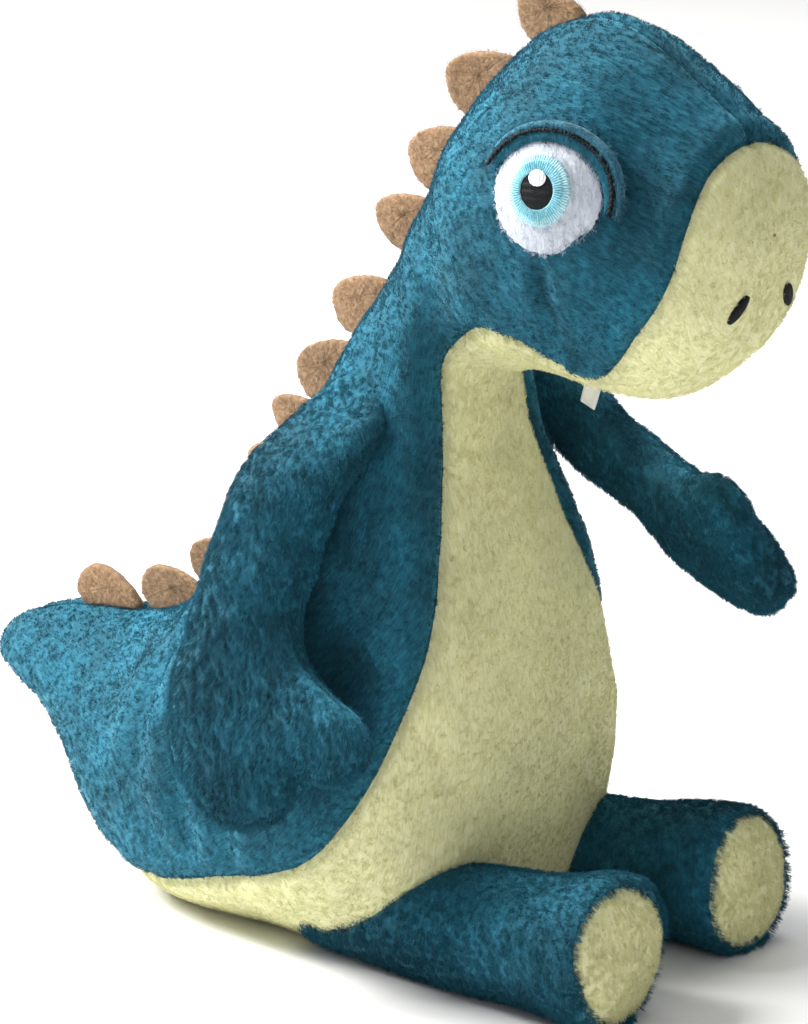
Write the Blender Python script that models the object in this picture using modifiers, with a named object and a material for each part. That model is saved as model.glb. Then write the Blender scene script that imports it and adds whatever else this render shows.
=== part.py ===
"""Sitting stuffed dinosaur: fabric skins over stuffing, hinged head, tail, arms and legs.

Frame: the toy faces -Y, its tail points to +Y, its left is +X, and its seat lies on z = 0.
Tables are in millimetres and are turned into metres when a mesh is made.
"""

from math import cos, pi, radians, sin, sqrt

import bmesh
import bpy
import numpy as np
from mathutils import Matrix, Vector

MM = 0.001
CLOTH = 0.9             # thickness of the pile fabric's backing and pile, modelled solid
GAP = 0.3               # clearance between pieces that are sewn or stuffed together
FILL_INSET = CLOTH + 3.5 * GAP
SNOUT_FROM = 18         # ring from which the stuffing lies deeper, in the tightly curved snout
SNOUT_FILL = 0.5
ARM_INSET = CLOTH + 3.5 * GAP
SEAM = 0.2              # how far each panel stops short of a seam
FELT = 2.6              # thickness of the felt spines
SPINE_SLOT = 1.6        # half width of the slot in the back seam that holds the spines

# One ring of the body per row, from the tail tip to the snout: back point (y, z), belly point
# (y, z), half width, where the ring is widest (share from back to belly), squareness below.
STATIONS = (
    (144, 50, 144, 48, 0, 0.50, 2.0),
    (137, 58, 140, 41, 11, 0.50, 2.0),
    (116, 64, 117, 31, 22, 0.50, 2.0),
    (92, 67, 93, 12, 34, 0.55, 2.2),
    (72, 76, 64, -2, 45, 0.62, 2.6),
    (57, 95, 26, -1, 51, 0.66, 2.9),
    (45, 115, -13, -1, 52, 0.68, 2.7),
    (34, 131, -35, 16, 50, 0.68, 2.3),
    (24, 147, -40, 48, 45, 0.68, 2.0),
    (16, 160, -37, 78, 37, 0.66, 2.0),
    (9, 171, -29, 104, 29, 0.60, 2.0),
    (3, 181, -23, 128, 24.5, 0.55, 2.0),
    (-3, 191, -21, 146, 24, 0.50, 2.0),
    (-10, 203, -30, 151, 26, 0.50, 2.0),
    (-18, 216, -41, 152, 33, 0.50, 2.0),
    (-29, 229.5, -52, 151, 37.5, 0.50, 2.0),
    (-42, 238.5, -62, 150, 39, 0.50, 2.0),
    (-54.5, 241, -71.5, 150, 38.5, 0.50, 2.0),
    (-67, 237.5, -80, 152, 36, 0.50, 2.0),
    (-79, 230, -86.5, 156.5, 32, 0.50, 2.1),
    (-91.5, 221.5, -95, 164, 27, 0.50, 2.2),
    (-99.5, 210, -100.3, 176.5, 18.2, 0.50, 2.1),
    (-103.2, 194, -103.2, 194, 0, 0.50, 2.0),
)
LAST = len(STATIONS) - 1
ENDS = 0.1              # rings start and stop this share of a station short of the tips
MIRROR_ROWS = 3         # stations repeated past each tip, so that both ends come out round

# Angle round the ring, in degrees from the back, of the seam between side and belly.
BELLY_SEAM = (134, 134, 137, 136, 126, 108, 97, 95, 107, 119, 128, 134, 136, 127, 126, 134, 146,
              150, 151, 153, 157, 159, 159)
# Station of the muzzle seam at every 15 degrees round the ring, from the back down.
MUZZLE_SEAM = (20.52, 20.51, 20.45, 20.37, 20.3, 20.17, 19.93, 19.52, 18.87, 17.75, 16.5)
HEAD_ROWS_FROM = 16     # ring where the head panels start to follow the muzzle seam

# Neck and tail joints: rim centre (y, z), rim normal (y, z), depth of the pivot under the
# rim, radius of the ball that stays on the body, clear slot for the rim.
NECK = dict(rim=(-7.5, 160), normal=(-0.554, 0.832), depth=20.0, ball=25.3, slot=5.2)
TAIL = dict(rim=(78, 36), normal=(1.0, 0.0), depth=28.0, ball=42.3, slot=7.4)
JOINT_GAP = 0.4

# Spines along the back seam: (first station, last station, height).
SPINES = (
    (1.95, 2.80, 9.5), (2.95, 3.85, 9.5), (3.98, 4.68, 10.5), (4.78, 5.42, 11.0),
    (5.50, 6.17, 11.5), (6.25, 6.95, 12.5), (7.02, 8.10, 12.5), (8.25, 9.55, 13.0),
    (10.35, 11.75, 13.5), (12.00, 13.35, 13.5), (13.60, 14.80, 13.5), (15.20, 16.35, 12.5),
)
# Leaf outline of a spine: share along the base from the tail end, share of the height.
SPINE_LEAF = ((0.0, 0.0), (-0.07, 0.36), (0.0, 0.72), (0.16, 0.96), (0.34, 1.0), (0.56, 0.85),
              (0.78, 0.55), (0.93, 0.24), (1.0, 0.0))
SPINE_ROOT = 0.8        # how deep a spine's root sits below the fabric's face

# Eyes: ring station and angle of the centre, radii of the stitched rounds.
EYE_AT = (17.08, 78.4)
EYE_WHITE = 13.0
EYE_IRIS = 7.1
EYE_PUPIL = 3.8
EYE_GLINT = 1.5
GLINT_AT = (1.0, 1.2)
STITCH = 0.8            # thickness of the eye's rounds
LID_RADIUS = 15.4
LID_ARC = (8, 172)
LASH_ARC = (14, 166)
NOSTRIL_AT = (20.89, 149)

# Arm outline in the arm's own plane (down, forward) round the mitten from the top.
ARM_OUTLINE = (
    (-9, -1), (-7, -9), (2, -14.5), (16, -18), (30, -21), (46, -24), (62, -26), (76, -28.5),
    (90, -27.5), (101, -20), (107, -8), (104.5, 3), (97, 10), (91.5, 12.5), (91, 21),
    (87, 28.5), (80.5, 30.5), (74, 26), (69, 16), (61, 6), (48, 2), (34, 5), (18, 8.5),
    (4, 11), (-6, 7),
)
# Middle line of the arm and of its thumb: (down, forward, half thickness).
ARM_SPINE = ((0, -1, 3.4), (7, -3, 5.4), (16, -5.5, 7.6), (28, -8, 9.0), (42, -10.5, 9.5),
             (56, -12, 9.5), (70, -12.5, 9.5), (82, -11.5, 9.5), (94, -9, 8.4))
THUMB_SPINE = ((79, 3, 8.2), (81, 12, 7.6), (82.5, 20, 7.0))
# How far the arm's middle plane stands out from the shoulder plane: (down, out).
ARM_BOW = ((-9, 1.0), (0, 3.2), (10, 6.6), (25, 9.6), (50, 7.6), (75, 3.0), (92, 0.0), (108, -2.0))
INNER_FACE = 0.85       # the face towards the body is this much flatter than the outer one
SHOULDER = (26.0, 3.0, 141.0)
SHOULDER_TILT = 24.3    # the shoulder axis points out and this many degrees up
SHOULDER_SEAT = 20.0    # radius of the flat seat in the body under the upper arm
SEAT_DROP = 8.0         # how far down the arm the seat is centred
SEAT_DEPTH = 3.0
ARM_SWING = dict(right=0, left=58)      # how far forward each arm is raised at rest
ARM_TWIST = dict(right=0, left=20)      # turn of the hand about the arm's length
ARM_SIZE = dict(right=1.0, left=0.9)    # the left arm is sewn deeper into its shoulder
TWIST_FROM = 12
TWIST_TO = 62

# Legs: hip and sole centres (x, y, z), both on cones that lie on the floor.
HIP = dict(right=(-30, 8, 12), left=(30, 13, 12))
SOLE = dict(right=(-31, -82, 19), left=(31, -77, 19))
LEG_RADII = ((-11, 0.0), (-9.6, 5.0), (-6, 9.4), (0, 11.6), (15, 13.0), (45, 15.3), (75, 17.6),
             (86, 18.4), (90, 18.0))
SOLE_RADIUS = 16.8
SOLE_BULGE = 3.4
LEG_UP = 6
LEG_CLEAR = 0.5
HIP_CLEAR = 13.8        # radius kept free round each hip, for the leg to swing down
LEG_SIDES = 20          # columns round a leg


# ---------------------------------------------------------------- body surface

def spline(rows, at):
    """Natural cubic through rows spaced one apart, read at the given places."""
    rows = np.asarray(rows, float)
    at = np.asarray(at, float)
    count = len(rows)
    lhs = np.eye(count)
    rhs = np.zeros_like(rows)
    for i in range(1, count - 1):
        lhs[i, i - 1:i + 2] = (1, 4, 1)
        rhs[i] = 6 * (rows[i + 1] - 2 * rows[i] + rows[i - 1])
    bend = np.linalg.solve(lhs, rhs)
    i = np.clip(np.floor(at).astype(int), 0, count - 2)
    a = (at - i).reshape(at.shape + (1,) * (rows.ndim - 1))
    b = 1 - a
    return b * rows[i] + a * rows[i + 1] + ((b**3 - b) * bend[i] + (a**3 - a) * bend[i + 1]) / 6


def station_table():
    """Middle point and squareness (even past a tip), up and down vectors and width (odd)."""
    rows = np.array(STATIONS, float)
    back, belly = rows[:, 0:2], rows[:, 2:4]
    middle = back + (belly - back) * rows[:, 5:6]
    table = np.hstack([middle, rows[:, 6:7], back - middle, belly - middle, rows[:, 4:5]])
    flip = np.array([1, 1, 1, -1, -1, -1, -1, -1])
    before = table[1:MIRROR_ROWS + 1][::-1] * flip
    after = table[-MIRROR_ROWS - 1:-1][::-1] * flip
    return np.vstack([before, table, after])


TABLE = station_table()


def surface(t, v):
    """Skin point in mm at station t and angle v (0 back, pi belly, past pi the right side)."""
    t, v = np.broadcast_arrays(np.asarray(t, float), np.asarray(v, float))
    row = spline(TABLE, t + MIRROR_ROWS)
    side, up = np.sin(v), np.cos(v)
    low = up < 0
    power = np.where(low, 2 / row[..., 2], 1.0)
    across = np.sign(side) * np.abs(side)**power
    along = np.abs(up)**power
    y = row[..., 0] + np.where(low, row[..., 5], row[..., 3]) * along
    z = row[..., 1] + np.where(low, row[..., 6], row[..., 4]) * along
    return np.stack([row[..., 7] * across, y, z], -1)


def outward(t, v):
    """Unit normal of the skin."""
    step = 1e-3
    around = surface(t, v + step) - surface(t, v - step)
    along = surface(t + step, v) - surface(t - step, v)
    normal = np.cross(along, around)
    return normal / np.maximum(np.linalg.norm(normal, axis=-1, keepdims=True), 1e-12)


def skin(t, v, inset=0.0):
    """Skin point moved inwards, never lower than its own depth above the floor."""
    t, v = np.broadcast_arrays(np.asarray(t, float), np.asarray(v, float))
    inset = np.broadcast_to(inset, t.shape)
    point = surface(t, v) - inset[..., None] * outward(t, v)
    point[..., 2] = np.maximum(point[..., 2], inset)
    return point


def speed(t, v, about):
    """Millimetres of skin per unit of station (about 't') or of angle (about 'v')."""
    step = 1e-3
    if about == "v":
        move = surface(t, v + step) - surface(t, v - step)
    else:
        move = surface(t + step, v) - surface(t - step, v)
    return np.maximum(np.linalg.norm(move, axis=-1) / (2 * step), 0.9)


def belly_seam(t):
    return spline(np.radians(BELLY_SEAM), t)


def muzzle_seam(share):
    """Station of the muzzle seam at a share of the way from the back to the jaw seam."""
    return spline(np.array(MUZZLE_SEAM), share * (len(MUZZLE_SEAM) - 1))


# ---------------------------------------------------------------- scene helpers

for old in list(bpy.data.objects):
    bpy.data.objects.remove(old, do_unlink=True)

toy = bpy.data.collections.new("stuffed_dinosaur")
cutters = bpy.data.collections.new("cutters")
for collection in (toy, cutters):
    bpy.context.scene.collection.children.link(collection)


def make_material(name, colour, roughness=0.9):
    material = bpy.data.materials.new(name)
    material.use_nodes = True
    shader = material.node_tree.nodes["Principled BSDF"]
    shader.inputs["Base Color"].default_value = (*colour, 1)
    shader.inputs["Roughness"].default_value = roughness
    return material


TEAL = make_material("teal_plush", (0.022, 0.135, 0.21))
LIME = make_material("pale_lime_plush", (0.66, 0.68, 0.29))
FELT_TAN = make_material("tan_felt", (0.40, 0.225, 0.10))
WHITE = make_material("white_plush", (0.80, 0.84, 0.88))
AQUA = make_material("aqua_thread", (0.25, 0.58, 0.68), 0.6)
DARK = make_material("dark_thread", (0.01, 0.014, 0.018), 0.6)
LID_TEAL = make_material("lid_plush", (0.05, 0.24, 0.33))
SATIN = make_material("label_satin", (0.82, 0.82, 0.80), 0.5)
WADDING = make_material("wadding", (0.75, 0.74, 0.70))


def add_object(name, mesh, material, home=None):
    item = bpy.data.objects.new(name, mesh)
    (home or toy).objects.link(item)
    if material:
        mesh.materials.append(material)
    if home is cutters:
        item.hide_render = True
        item.display_type = "WIRE"
    return item


def mesh_from(name, points, faces):
    mesh = bpy.data.meshes.new(name)
    mesh.from_pydata([tuple(float(c) * MM for c in p) for p in points], [], faces)
    mesh.update()
    return mesh


def tidy(mesh):
    """Merge repeated points and face every side outwards."""
    bm = bmesh.new()
    bm.from_mesh(mesh)
    bmesh.ops.remove_doubles(bm, verts=bm.verts, dist=1e-6)
    bmesh.ops.recalc_face_normals(bm, faces=bm.faces)
    bm.to_mesh(mesh)
    bm.free()


def grid_faces(rows, cols, closed):
    last = cols if closed else cols - 1
    return [
        (i * cols + j, i * cols + (j + 1) % cols, (i + 1) * cols + (j + 1) % cols, (i + 1) * cols + j)
        for i in range(rows - 1)
        for j in range(last)
    ]


def loft(name, grid, material, home=None, closed=True):
    """Mesh through rows of points; a closed one is capped at both ends."""
    rows, cols = grid.shape[:2]
    faces = grid_faces(rows, cols, closed)
    if closed:
        faces.append(tuple(reversed(range(cols))))
        faces.append(tuple(range((rows - 1) * cols, rows * cols)))
    mesh = mesh_from(name, grid.reshape(-1, 3), faces)
    if closed:
        tidy(mesh)
    return add_object(name, mesh, material, home)


def apply_modifiers(item):
    """Keep the evaluated shape as the object's own mesh."""
    graph = bpy.context.evaluated_depsgraph_get()
    shape = bpy.data.meshes.new_from_object(item.evaluated_get(graph))
    item.modifiers.clear()
    item.data = shape
    tidy(shape)


def combine(item, other, operation):
    cut = item.modifiers.new("cut", "BOOLEAN")
    cut.operation = operation
    cut.solver = "EXACT"
    cut.object = other
    apply_modifiers(item)


def thicken(item, thickness=CLOTH):
    """Give an open sheet of fabric its thickness, inwards from its outer face."""
    solid = item.modifiers.new("cloth", "SOLIDIFY")
    solid.thickness = thickness * MM
    solid.offset = -1
    solid.use_even_offset = False
    apply_modifiers(item)


def drop(item):
    bpy.data.objects.remove(item, do_unlink=True)


def copy_of(item, name, material=None):
    twin = item.copy()
    twin.data = item.data.copy()
    twin.name = name
    toy.objects.link(twin)
    if material:
        twin.data.materials.clear()
        twin.data.materials.append(material)
    return twin


# ---------------------------------------------------------------- body panels

BODY_ROWS = np.concatenate([[ENDS, 0.4, 0.8], np.arange(1.25, HEAD_ROWS_FROM, 0.5)])
SIDE_COLUMNS = 9
BELLY_COLUMNS = 6
HEAD_ROWS = 9
MUZZLE_ROWS = 7


def side_sheet(right):
    """Half of the back and side, from the tail tip to the muzzle seam."""
    share = np.linspace(0, 1, SIDE_COLUMNS)
    rows = [np.full(SIDE_COLUMNS, t) for t in BODY_ROWS]
    front = muzzle_seam(share)
    front = front - SEAM / speed(front, share * belly_seam(front), "t")
    rows += [HEAD_ROWS_FROM + (front - HEAD_ROWS_FROM) * q for q in np.linspace(0, 1, HEAD_ROWS)]
    t = np.array(rows)
    slot = SPINE_SLOT - (SPINE_SLOT - SEAM) * np.clip(t[:, :1] - 16.6, 0, 1)
    first = np.minimum(slot / speed(t[:, :1], 0.01, "v"), 0.6)
    last = belly_seam(t) - SEAM / speed(t, belly_seam(t), "v")
    v = first + (last - first) * share
    return sheet_points(t, v, right)


def muzzle_sheet(right):
    """Half of the muzzle, from its seam to the snout."""
    share = np.linspace(0, 1, SIDE_COLUMNS)
    back = muzzle_seam(share)
    back = back + SEAM / speed(back, share * belly_seam(back), "t")
    q = np.linspace(0, 1, MUZZLE_ROWS)[:, None]
    t = back + (LAST - ENDS - back) * q
    first = np.minimum(SEAM / speed(t[:, :1], 0.01, "v"), 0.3)
    last = belly_seam(t) - 1.5 * SEAM / speed(t, belly_seam(t), "v")
    v = first + (last - first) * share
    return sheet_points(t, v, right)


def belly_sheet():
    """Strip under the tail, up the belly and throat and under the jaw to the snout."""
    rows = np.concatenate([BODY_ROWS, np.linspace(HEAD_ROWS_FROM, LAST - ENDS, 12)])
    t = rows[:, None]
    edge = belly_seam(t) + SEAM / speed(t, belly_seam(t), "v")
    share = np.linspace(-1, 1, 2 * BELLY_COLUMNS + 1)
    v = pi + (pi - edge) * share
    return sheet_points(t + 0 * v, v, False)


def sheet_points(t, v, right):
    grid = skin(t, v)
    if right:
        grid[..., 0] *= -1
        grid = grid[:, ::-1]
    return grid


def face_out(item):
    """Turn an open sheet so that its faces look away from the middle of the body."""
    mesh = item.data
    total = 0.0
    for face in mesh.polygons:
        middle = face.center / MM
        near = Vector((0, middle.y, middle.z))
        total += face.normal.dot(face.center / MM - near) * face.area
    if total < 0:
        mesh.flip_normals()


def body_fill():
    """Rings of the stuffing, with columns where the panels above have theirs."""
    t = np.concatenate([BODY_ROWS, np.linspace(HEAD_ROWS_FROM, LAST - ENDS, 12)])[:, None]
    seam = belly_seam(t)
    left = seam * np.linspace(0, 1, SIDE_COLUMNS)
    under = seam + (2 * pi - 2 * seam) * np.linspace(0, 1, 2 * BELLY_COLUMNS + 1)[1:]
    right = 2 * pi - left[:, ::-1][:, 1:-1]
    v = np.hstack([left, under, right])
    snout = SNOUT_FILL * np.clip((t - SNOUT_FROM) / 2, 0, 1)
    return skin(t + 0 * v, v, FILL_INSET + snout + 0 * v)


# ---------------------------------------------------------------- joint cutters

BIG = 400


def half_space(name, at, normal):
    """Large block on the far side of a plane across the body."""
    bm = bmesh.new()
    bmesh.ops.create_cube(bm, size=BIG * MM)
    turn = Vector((0, 0, 1)).rotation_difference(Vector((0, *normal)))
    middle = Vector((0, *at)) * MM + Vector((0, *normal)).normalized() * (BIG / 2 * MM)
    bmesh.ops.transform(bm, matrix=Matrix.Translation(middle) @ turn.to_matrix().to_4x4(), verts=bm.verts)
    mesh = bpy.data.meshes.new(name)
    bm.to_mesh(mesh)
    bm.free()
    return add_object(name, mesh, None, cutters)


def ball(name, centre, radius):
    bm = bmesh.new()
    bmesh.ops.create_uvsphere(bm, u_segments=32, v_segments=20, radius=radius * MM)
    bmesh.ops.translate(bm, vec=Vector(centre) * MM, verts=bm.verts)
    mesh = bpy.data.meshes.new(name)
    bm.to_mesh(mesh)
    bm.free()
    return add_object(name, mesh, None, cutters)


def pivot_of(joint):
    return tuple(c - joint["depth"] * n for c, n in zip(joint["rim"], joint["normal"]))


def child_region(name, joint):
    """Everything past the rim of a joint, hollowed for the ball."""
    region = half_space(name, joint["rim"], joint["normal"])
    socket = ball(name + "_socket", (0, *pivot_of(joint)), joint["ball"] + JOINT_GAP)
    combine(region, socket, "DIFFERENCE")
    drop(socket)
    return region


def parent_slot(name, joint, keep_ball):
    """What the parent gives up at a joint: all past the slot, except the ball inside it."""
    rim = tuple(c - joint["slot"] * n for c, n in zip(joint["rim"], joint["normal"]))
    region = half_space(name, rim, joint["normal"])
    if keep_ball:
        core = ball(name + "_core", (0, *pivot_of(joint)), joint["ball"])
        combine(region, core, "DIFFERENCE")
        drop(core)
    return region


def build_body():
    sheets = {
        "side_right": (side_sheet(True), TEAL),
        "side_left": (side_sheet(False), TEAL),
        "belly": (belly_sheet(), LIME),
    }
    whole = {}
    for name, (grid, material) in sheets.items():
        whole[name] = loft(name, grid, material, closed=False)
        face_out(whole[name])
        thicken(whole[name])
    whole["stuffing"] = loft("stuffing", body_fill(), TEAL)

    head_region = child_region("head_region", NECK)
    tail_region = child_region("tail_region", TAIL)
    slots = {
        keep: [parent_slot("neck_slot", NECK, keep), parent_slot("tail_slot", TAIL, keep)]
        for keep in (False, True)
    }
    names = {
        "side_right": ("body_side_right", "head_side_right", "tail_side_right"),
        "side_left": ("body_side_left", "head_side_left", "tail_side_left"),
        "belly": ("belly_panel", "chin_panel", "tail_underside"),
        "stuffing": ("torso_stuffing", "head_stuffing", "tail_stuffing"),
    }
    for key, (torso, head, tail) in names.items():
        head_piece = copy_of(whole[key], head)
        combine(head_piece, head_region, "INTERSECT")
        tail_piece = copy_of(whole[key], tail)
        combine(tail_piece, tail_region, "INTERSECT")
        torso_piece = copy_of(whole[key], torso)
        for slot in slots[key == "stuffing"]:
            combine(torso_piece, slot, "DIFFERENCE")
        drop(whole[key])
    for right in (True, False):
        name = "muzzle_right" if right else "muzzle_left"
        half = loft(name, muzzle_sheet(right), LIME, closed=False)
        face_out(half)
        thicken(half)
    for piece in (head_region, tail_region, *slots[True], *slots[False]):
        drop(piece)


# ---------------------------------------------------------------- legs

def leg_frame(side):
    hip = Vector(HIP[side])
    along = (Vector(SOLE[side]) - hip).normalized()
    turn = Vector((0, 0, 1)).rotation_difference(along).to_matrix().to_4x4()
    return Matrix.Translation(hip * MM) @ turn


def lathe(name, profile, matrix, material, home=None, sides=LEG_SIDES):
    """Turn a profile of (along, radius) about the leg's axis; ends on the axis are closed."""
    mesh = bpy.data.meshes.new(name)
    bm = bmesh.new()
    verts = [bm.verts.new((r * MM, 0, s * MM)) for s, r in profile]
    edges = [bm.edges.new(pair) for pair in zip(verts, verts[1:])]
    bmesh.ops.spin(bm, geom=verts + edges, angle=2 * pi, steps=sides, axis=(0, 0, 1), cent=(0, 0, 0))
    bmesh.ops.remove_doubles(bm, verts=bm.verts, dist=1e-6)
    bmesh.ops.recalc_face_normals(bm, faces=bm.faces)
    bmesh.ops.transform(bm, matrix=matrix, verts=bm.verts)
    bm.to_mesh(mesh)
    bm.free()
    return add_object(name, mesh, material, home)


def leg_radius(along):
    places, radii = zip(*LEG_RADII)
    return float(np.interp(along, places, radii))


def build_leg(side):
    frame = leg_frame(side)
    length = LEG_RADII[-1][0]
    outer = list(LEG_RADII)
    inner = [(length, leg_radius(length) - CLOTH)]
    inner += [(s, r - CLOTH) for s, r in reversed(LEG_RADII[1:-1])]
    inner.append((LEG_RADII[0][0] + CLOTH, 0.0))
    lathe(f"{side}_leg_tube", outer + inner, frame, TEAL)

    start = length - 2.0
    top = [(start + SOLE_BULGE * cos(a) + 1.2, SOLE_RADIUS * sin(a)) for a in np.linspace(0, pi / 2, 6)]
    lathe(f"{side}_sole_pad", top + [(start + 0.4, SOLE_RADIUS), (start + 0.4, 0.0)], frame, LIME)

    first = LEG_RADII[0][0] + FILL_INSET
    fill = [(first, 0.0)] + [(s, r - FILL_INSET) for s, r in LEG_RADII[1:-1]]
    fill += [(start, SOLE_RADIUS - 0.6), (start, 0.0)]
    lathe(f"{side}_leg_stuffing", fill, frame, WADDING)


def leg_clearance(side):
    """Room that the leg takes in the body, from hanging down to raised."""
    frame = leg_frame(side)
    profile = [(LEG_RADII[0][0] - LEG_CLEAR, 0.0)]
    profile += [(s, r + LEG_CLEAR) for s, r in LEG_RADII[1:]] + [(LEG_RADII[-1][0], 0.0)]
    flat = lathe(f"{side}_leg_room", profile, frame, None, cutters, sides=20)
    hip = Vector(HIP[side]) * MM
    bm = bmesh.new()
    bm.from_mesh(flat.data)
    drop(flat)
    points = [v.co.copy() for v in bm.verts]
    bm.free()
    raise_by = Matrix.Rotation(-radians(LEG_UP), 4, "X")
    points += [raise_by @ (p - hip) + hip for p in points]
    for tilt in np.linspace(0, pi, 9):
        for turn in np.linspace(0, 2 * pi, 16, endpoint=False):
            reach = Vector((sin(tilt) * cos(turn), sin(tilt) * sin(turn), cos(tilt)))
            points.append(hip + reach * HIP_CLEAR * MM)
    points += [p - Vector((0, 0, HIP_CLEAR * MM)) for p in points]
    hull = bmesh.new()
    for p in points:
        hull.verts.new(p)
    made = bmesh.ops.convex_hull(hull, input=hull.verts)
    bmesh.ops.delete(hull, geom=list(set(made["geom_interior"]) | set(made["geom_unused"])), context="VERTS")
    mesh = bpy.data.meshes.new(f"{side}_leg_room")
    hull.to_mesh(mesh)
    hull.free()
    tidy(mesh)
    return add_object(f"{side}_leg_room", mesh, None, cutters)


# ---------------------------------------------------------------- arms

def smooth_loop(points, per_span):
    """Closed curve through the outline's points."""
    ring = np.array(points, float)
    count = len(ring)
    wide = np.vstack([ring[-4:], ring, ring[:5]])
    at = np.arange(0, count, 1 / per_span)
    return spline(wide, at + 4)


def arm_axes(side):
    """Directions down the arm, forward and outward for an arm hanging at rest, then swung."""
    sx = -1 if side == "right" else 1
    tilt = radians(SHOULDER_TILT)
    out = np.array([sx * cos(tilt), 0, sin(tilt)])
    down = np.array([sx * sin(tilt), 0, -cos(tilt)])
    ahead = np.array([0, -1.0, 0])
    swing = radians(ARM_SWING[side])
    return down * cos(swing) + ahead * sin(swing), ahead * cos(swing) - down * sin(swing), out


def arm_place(side, points):
    """Arm coordinates (down, forward, out from its middle plane) to the toy's frame."""
    down, ahead, out = arm_axes(side)
    origin = np.array(SHOULDER) * (-1 if side == "right" else 1, 1, 1)
    middle = np.array(ARM_SPINE)
    points = np.asarray(points, float) * ARM_SIZE[side]
    a, b, c = points[..., 0], points[..., 1], points[..., 2]
    line = np.interp(a, middle[:, 0], middle[:, 1])
    share = np.clip((a - TWIST_FROM) / (TWIST_TO - TWIST_FROM), 0, 1)
    turn = radians(ARM_TWIST[side]) * share * share * (3 - 2 * share)
    wide = (b - line) * np.cos(turn) + c * np.sin(turn)
    deep = c * np.cos(turn) - (b - line) * np.sin(turn)
    bow = np.array(ARM_BOW, float)
    reach = np.interp(a, bow[:, 0], bow[:, 1])
    return (origin + a[..., None] * down + (line + wide)[..., None] * ahead
            + (deep + reach)[..., None] * out)


RISE = np.radians([0, 22, 45, 67, 90])


def arm_half(outline, nodes, inset, face):
    """Rings from the mitten's edge up to its middle line, on the outer (+1) or inner face."""
    gap = np.linalg.norm(outline[:, None, :] - nodes[None, :, :2], axis=-1)
    nearest = nodes[gap.argmin(1)]
    rings = []
    for rise in RISE:
        flat = nearest[:, :2] + (outline - nearest[:, :2]) * cos(rise)
        height = (nearest[:, 2] * (1 if face > 0 else INNER_FACE) - inset) * sin(rise)
        rings.append(np.column_stack([flat, face * height]))
    return np.array(rings)


def shrink(outline, by):
    """Move a closed outline inwards."""
    edge = np.roll(outline, -1, 0) - np.roll(outline, 1, 0)
    normal = np.column_stack([edge[:, 1], -edge[:, 0]])
    normal /= np.linalg.norm(normal, axis=1, keepdims=True)
    middle = outline.mean(0)
    if ((outline - middle) * normal).sum() > 0:
        normal = -normal
    return outline + normal * by


def close_crown(mesh):
    """Fill the gap between the middle line of the arm and that of the thumb."""
    bm = bmesh.new()
    bm.from_mesh(mesh)
    bmesh.ops.remove_doubles(bm, verts=bm.verts, dist=1e-6)
    loops = []
    seen = set()
    for start in [e for e in bm.edges if e.is_boundary]:
        if start in seen:
            continue
        chain = [start]
        seen.add(start)
        while True:
            following = [
                e for v in chain[-1].verts for e in v.link_edges if e.is_boundary and e not in seen
            ]
            if not following:
                break
            chain.append(following[0])
            seen.add(following[0])
        loops.append(chain)
    loops.sort(key=len)
    for chain in loops[:-1]:
        bmesh.ops.edgeloop_fill(bm, edges=chain)
    bmesh.ops.triangulate(bm, faces=[f for f in bm.faces if len(f.verts) > 4])
    bm.to_mesh(mesh)
    bm.free()


def build_arm(side):
    outline = smooth_loop(ARM_OUTLINE, 2)
    nodes = np.array(ARM_SPINE + THUMB_SPINE, float)
    cols = len(outline)
    for face, label in ((1, "outer"), (-1, "inner")):
        rings = arm_half(outline, nodes, 0.0, face)
        rings[..., 2] += face * 3 * SEAM
        points = arm_place(side, rings)
        mesh = mesh_from("sheet", points.reshape(-1, 3), grid_faces(len(RISE), cols, True))
        close_crown(mesh)
        bm = bmesh.new()
        bm.from_mesh(mesh)
        bmesh.ops.recalc_face_normals(bm, faces=bm.faces)
        bm.to_mesh(mesh)
        bm.free()
        panel = add_object(f"{side}_arm_{label}", mesh, TEAL)
        out = Vector(arm_axes(side)[2]) * face
        if sum(f.normal.dot(out) * f.area for f in mesh.polygons) < 0:
            mesh.flip_normals()
        thicken(panel)
    small = shrink(outline, ARM_INSET)
    halves = []
    for face in (1, -1):
        rings = arm_half(small, nodes, ARM_INSET, face)
        halves.append(rings)
    both = np.concatenate([halves[0][::-1], halves[1][1:]])
    points = arm_place(side, both)
    mesh = mesh_from(f"{side}_arm_stuffing", points.reshape(-1, 3), grid_faces(len(both), cols, True))
    close_both_crowns(mesh)
    tidy(mesh)
    add_object(f"{side}_arm_stuffing", mesh, WADDING)


def close_both_crowns(mesh):
    bm = bmesh.new()
    bm.from_mesh(mesh)
    bmesh.ops.remove_doubles(bm, verts=bm.verts, dist=1e-6)
    bmesh.ops.holes_fill(bm, edges=[e for e in bm.edges if e.is_boundary], sides=0)
    bmesh.ops.triangulate(bm, faces=[f for f in bm.faces if len(f.verts) > 4])
    bm.to_mesh(mesh)
    bm.free()


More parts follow.
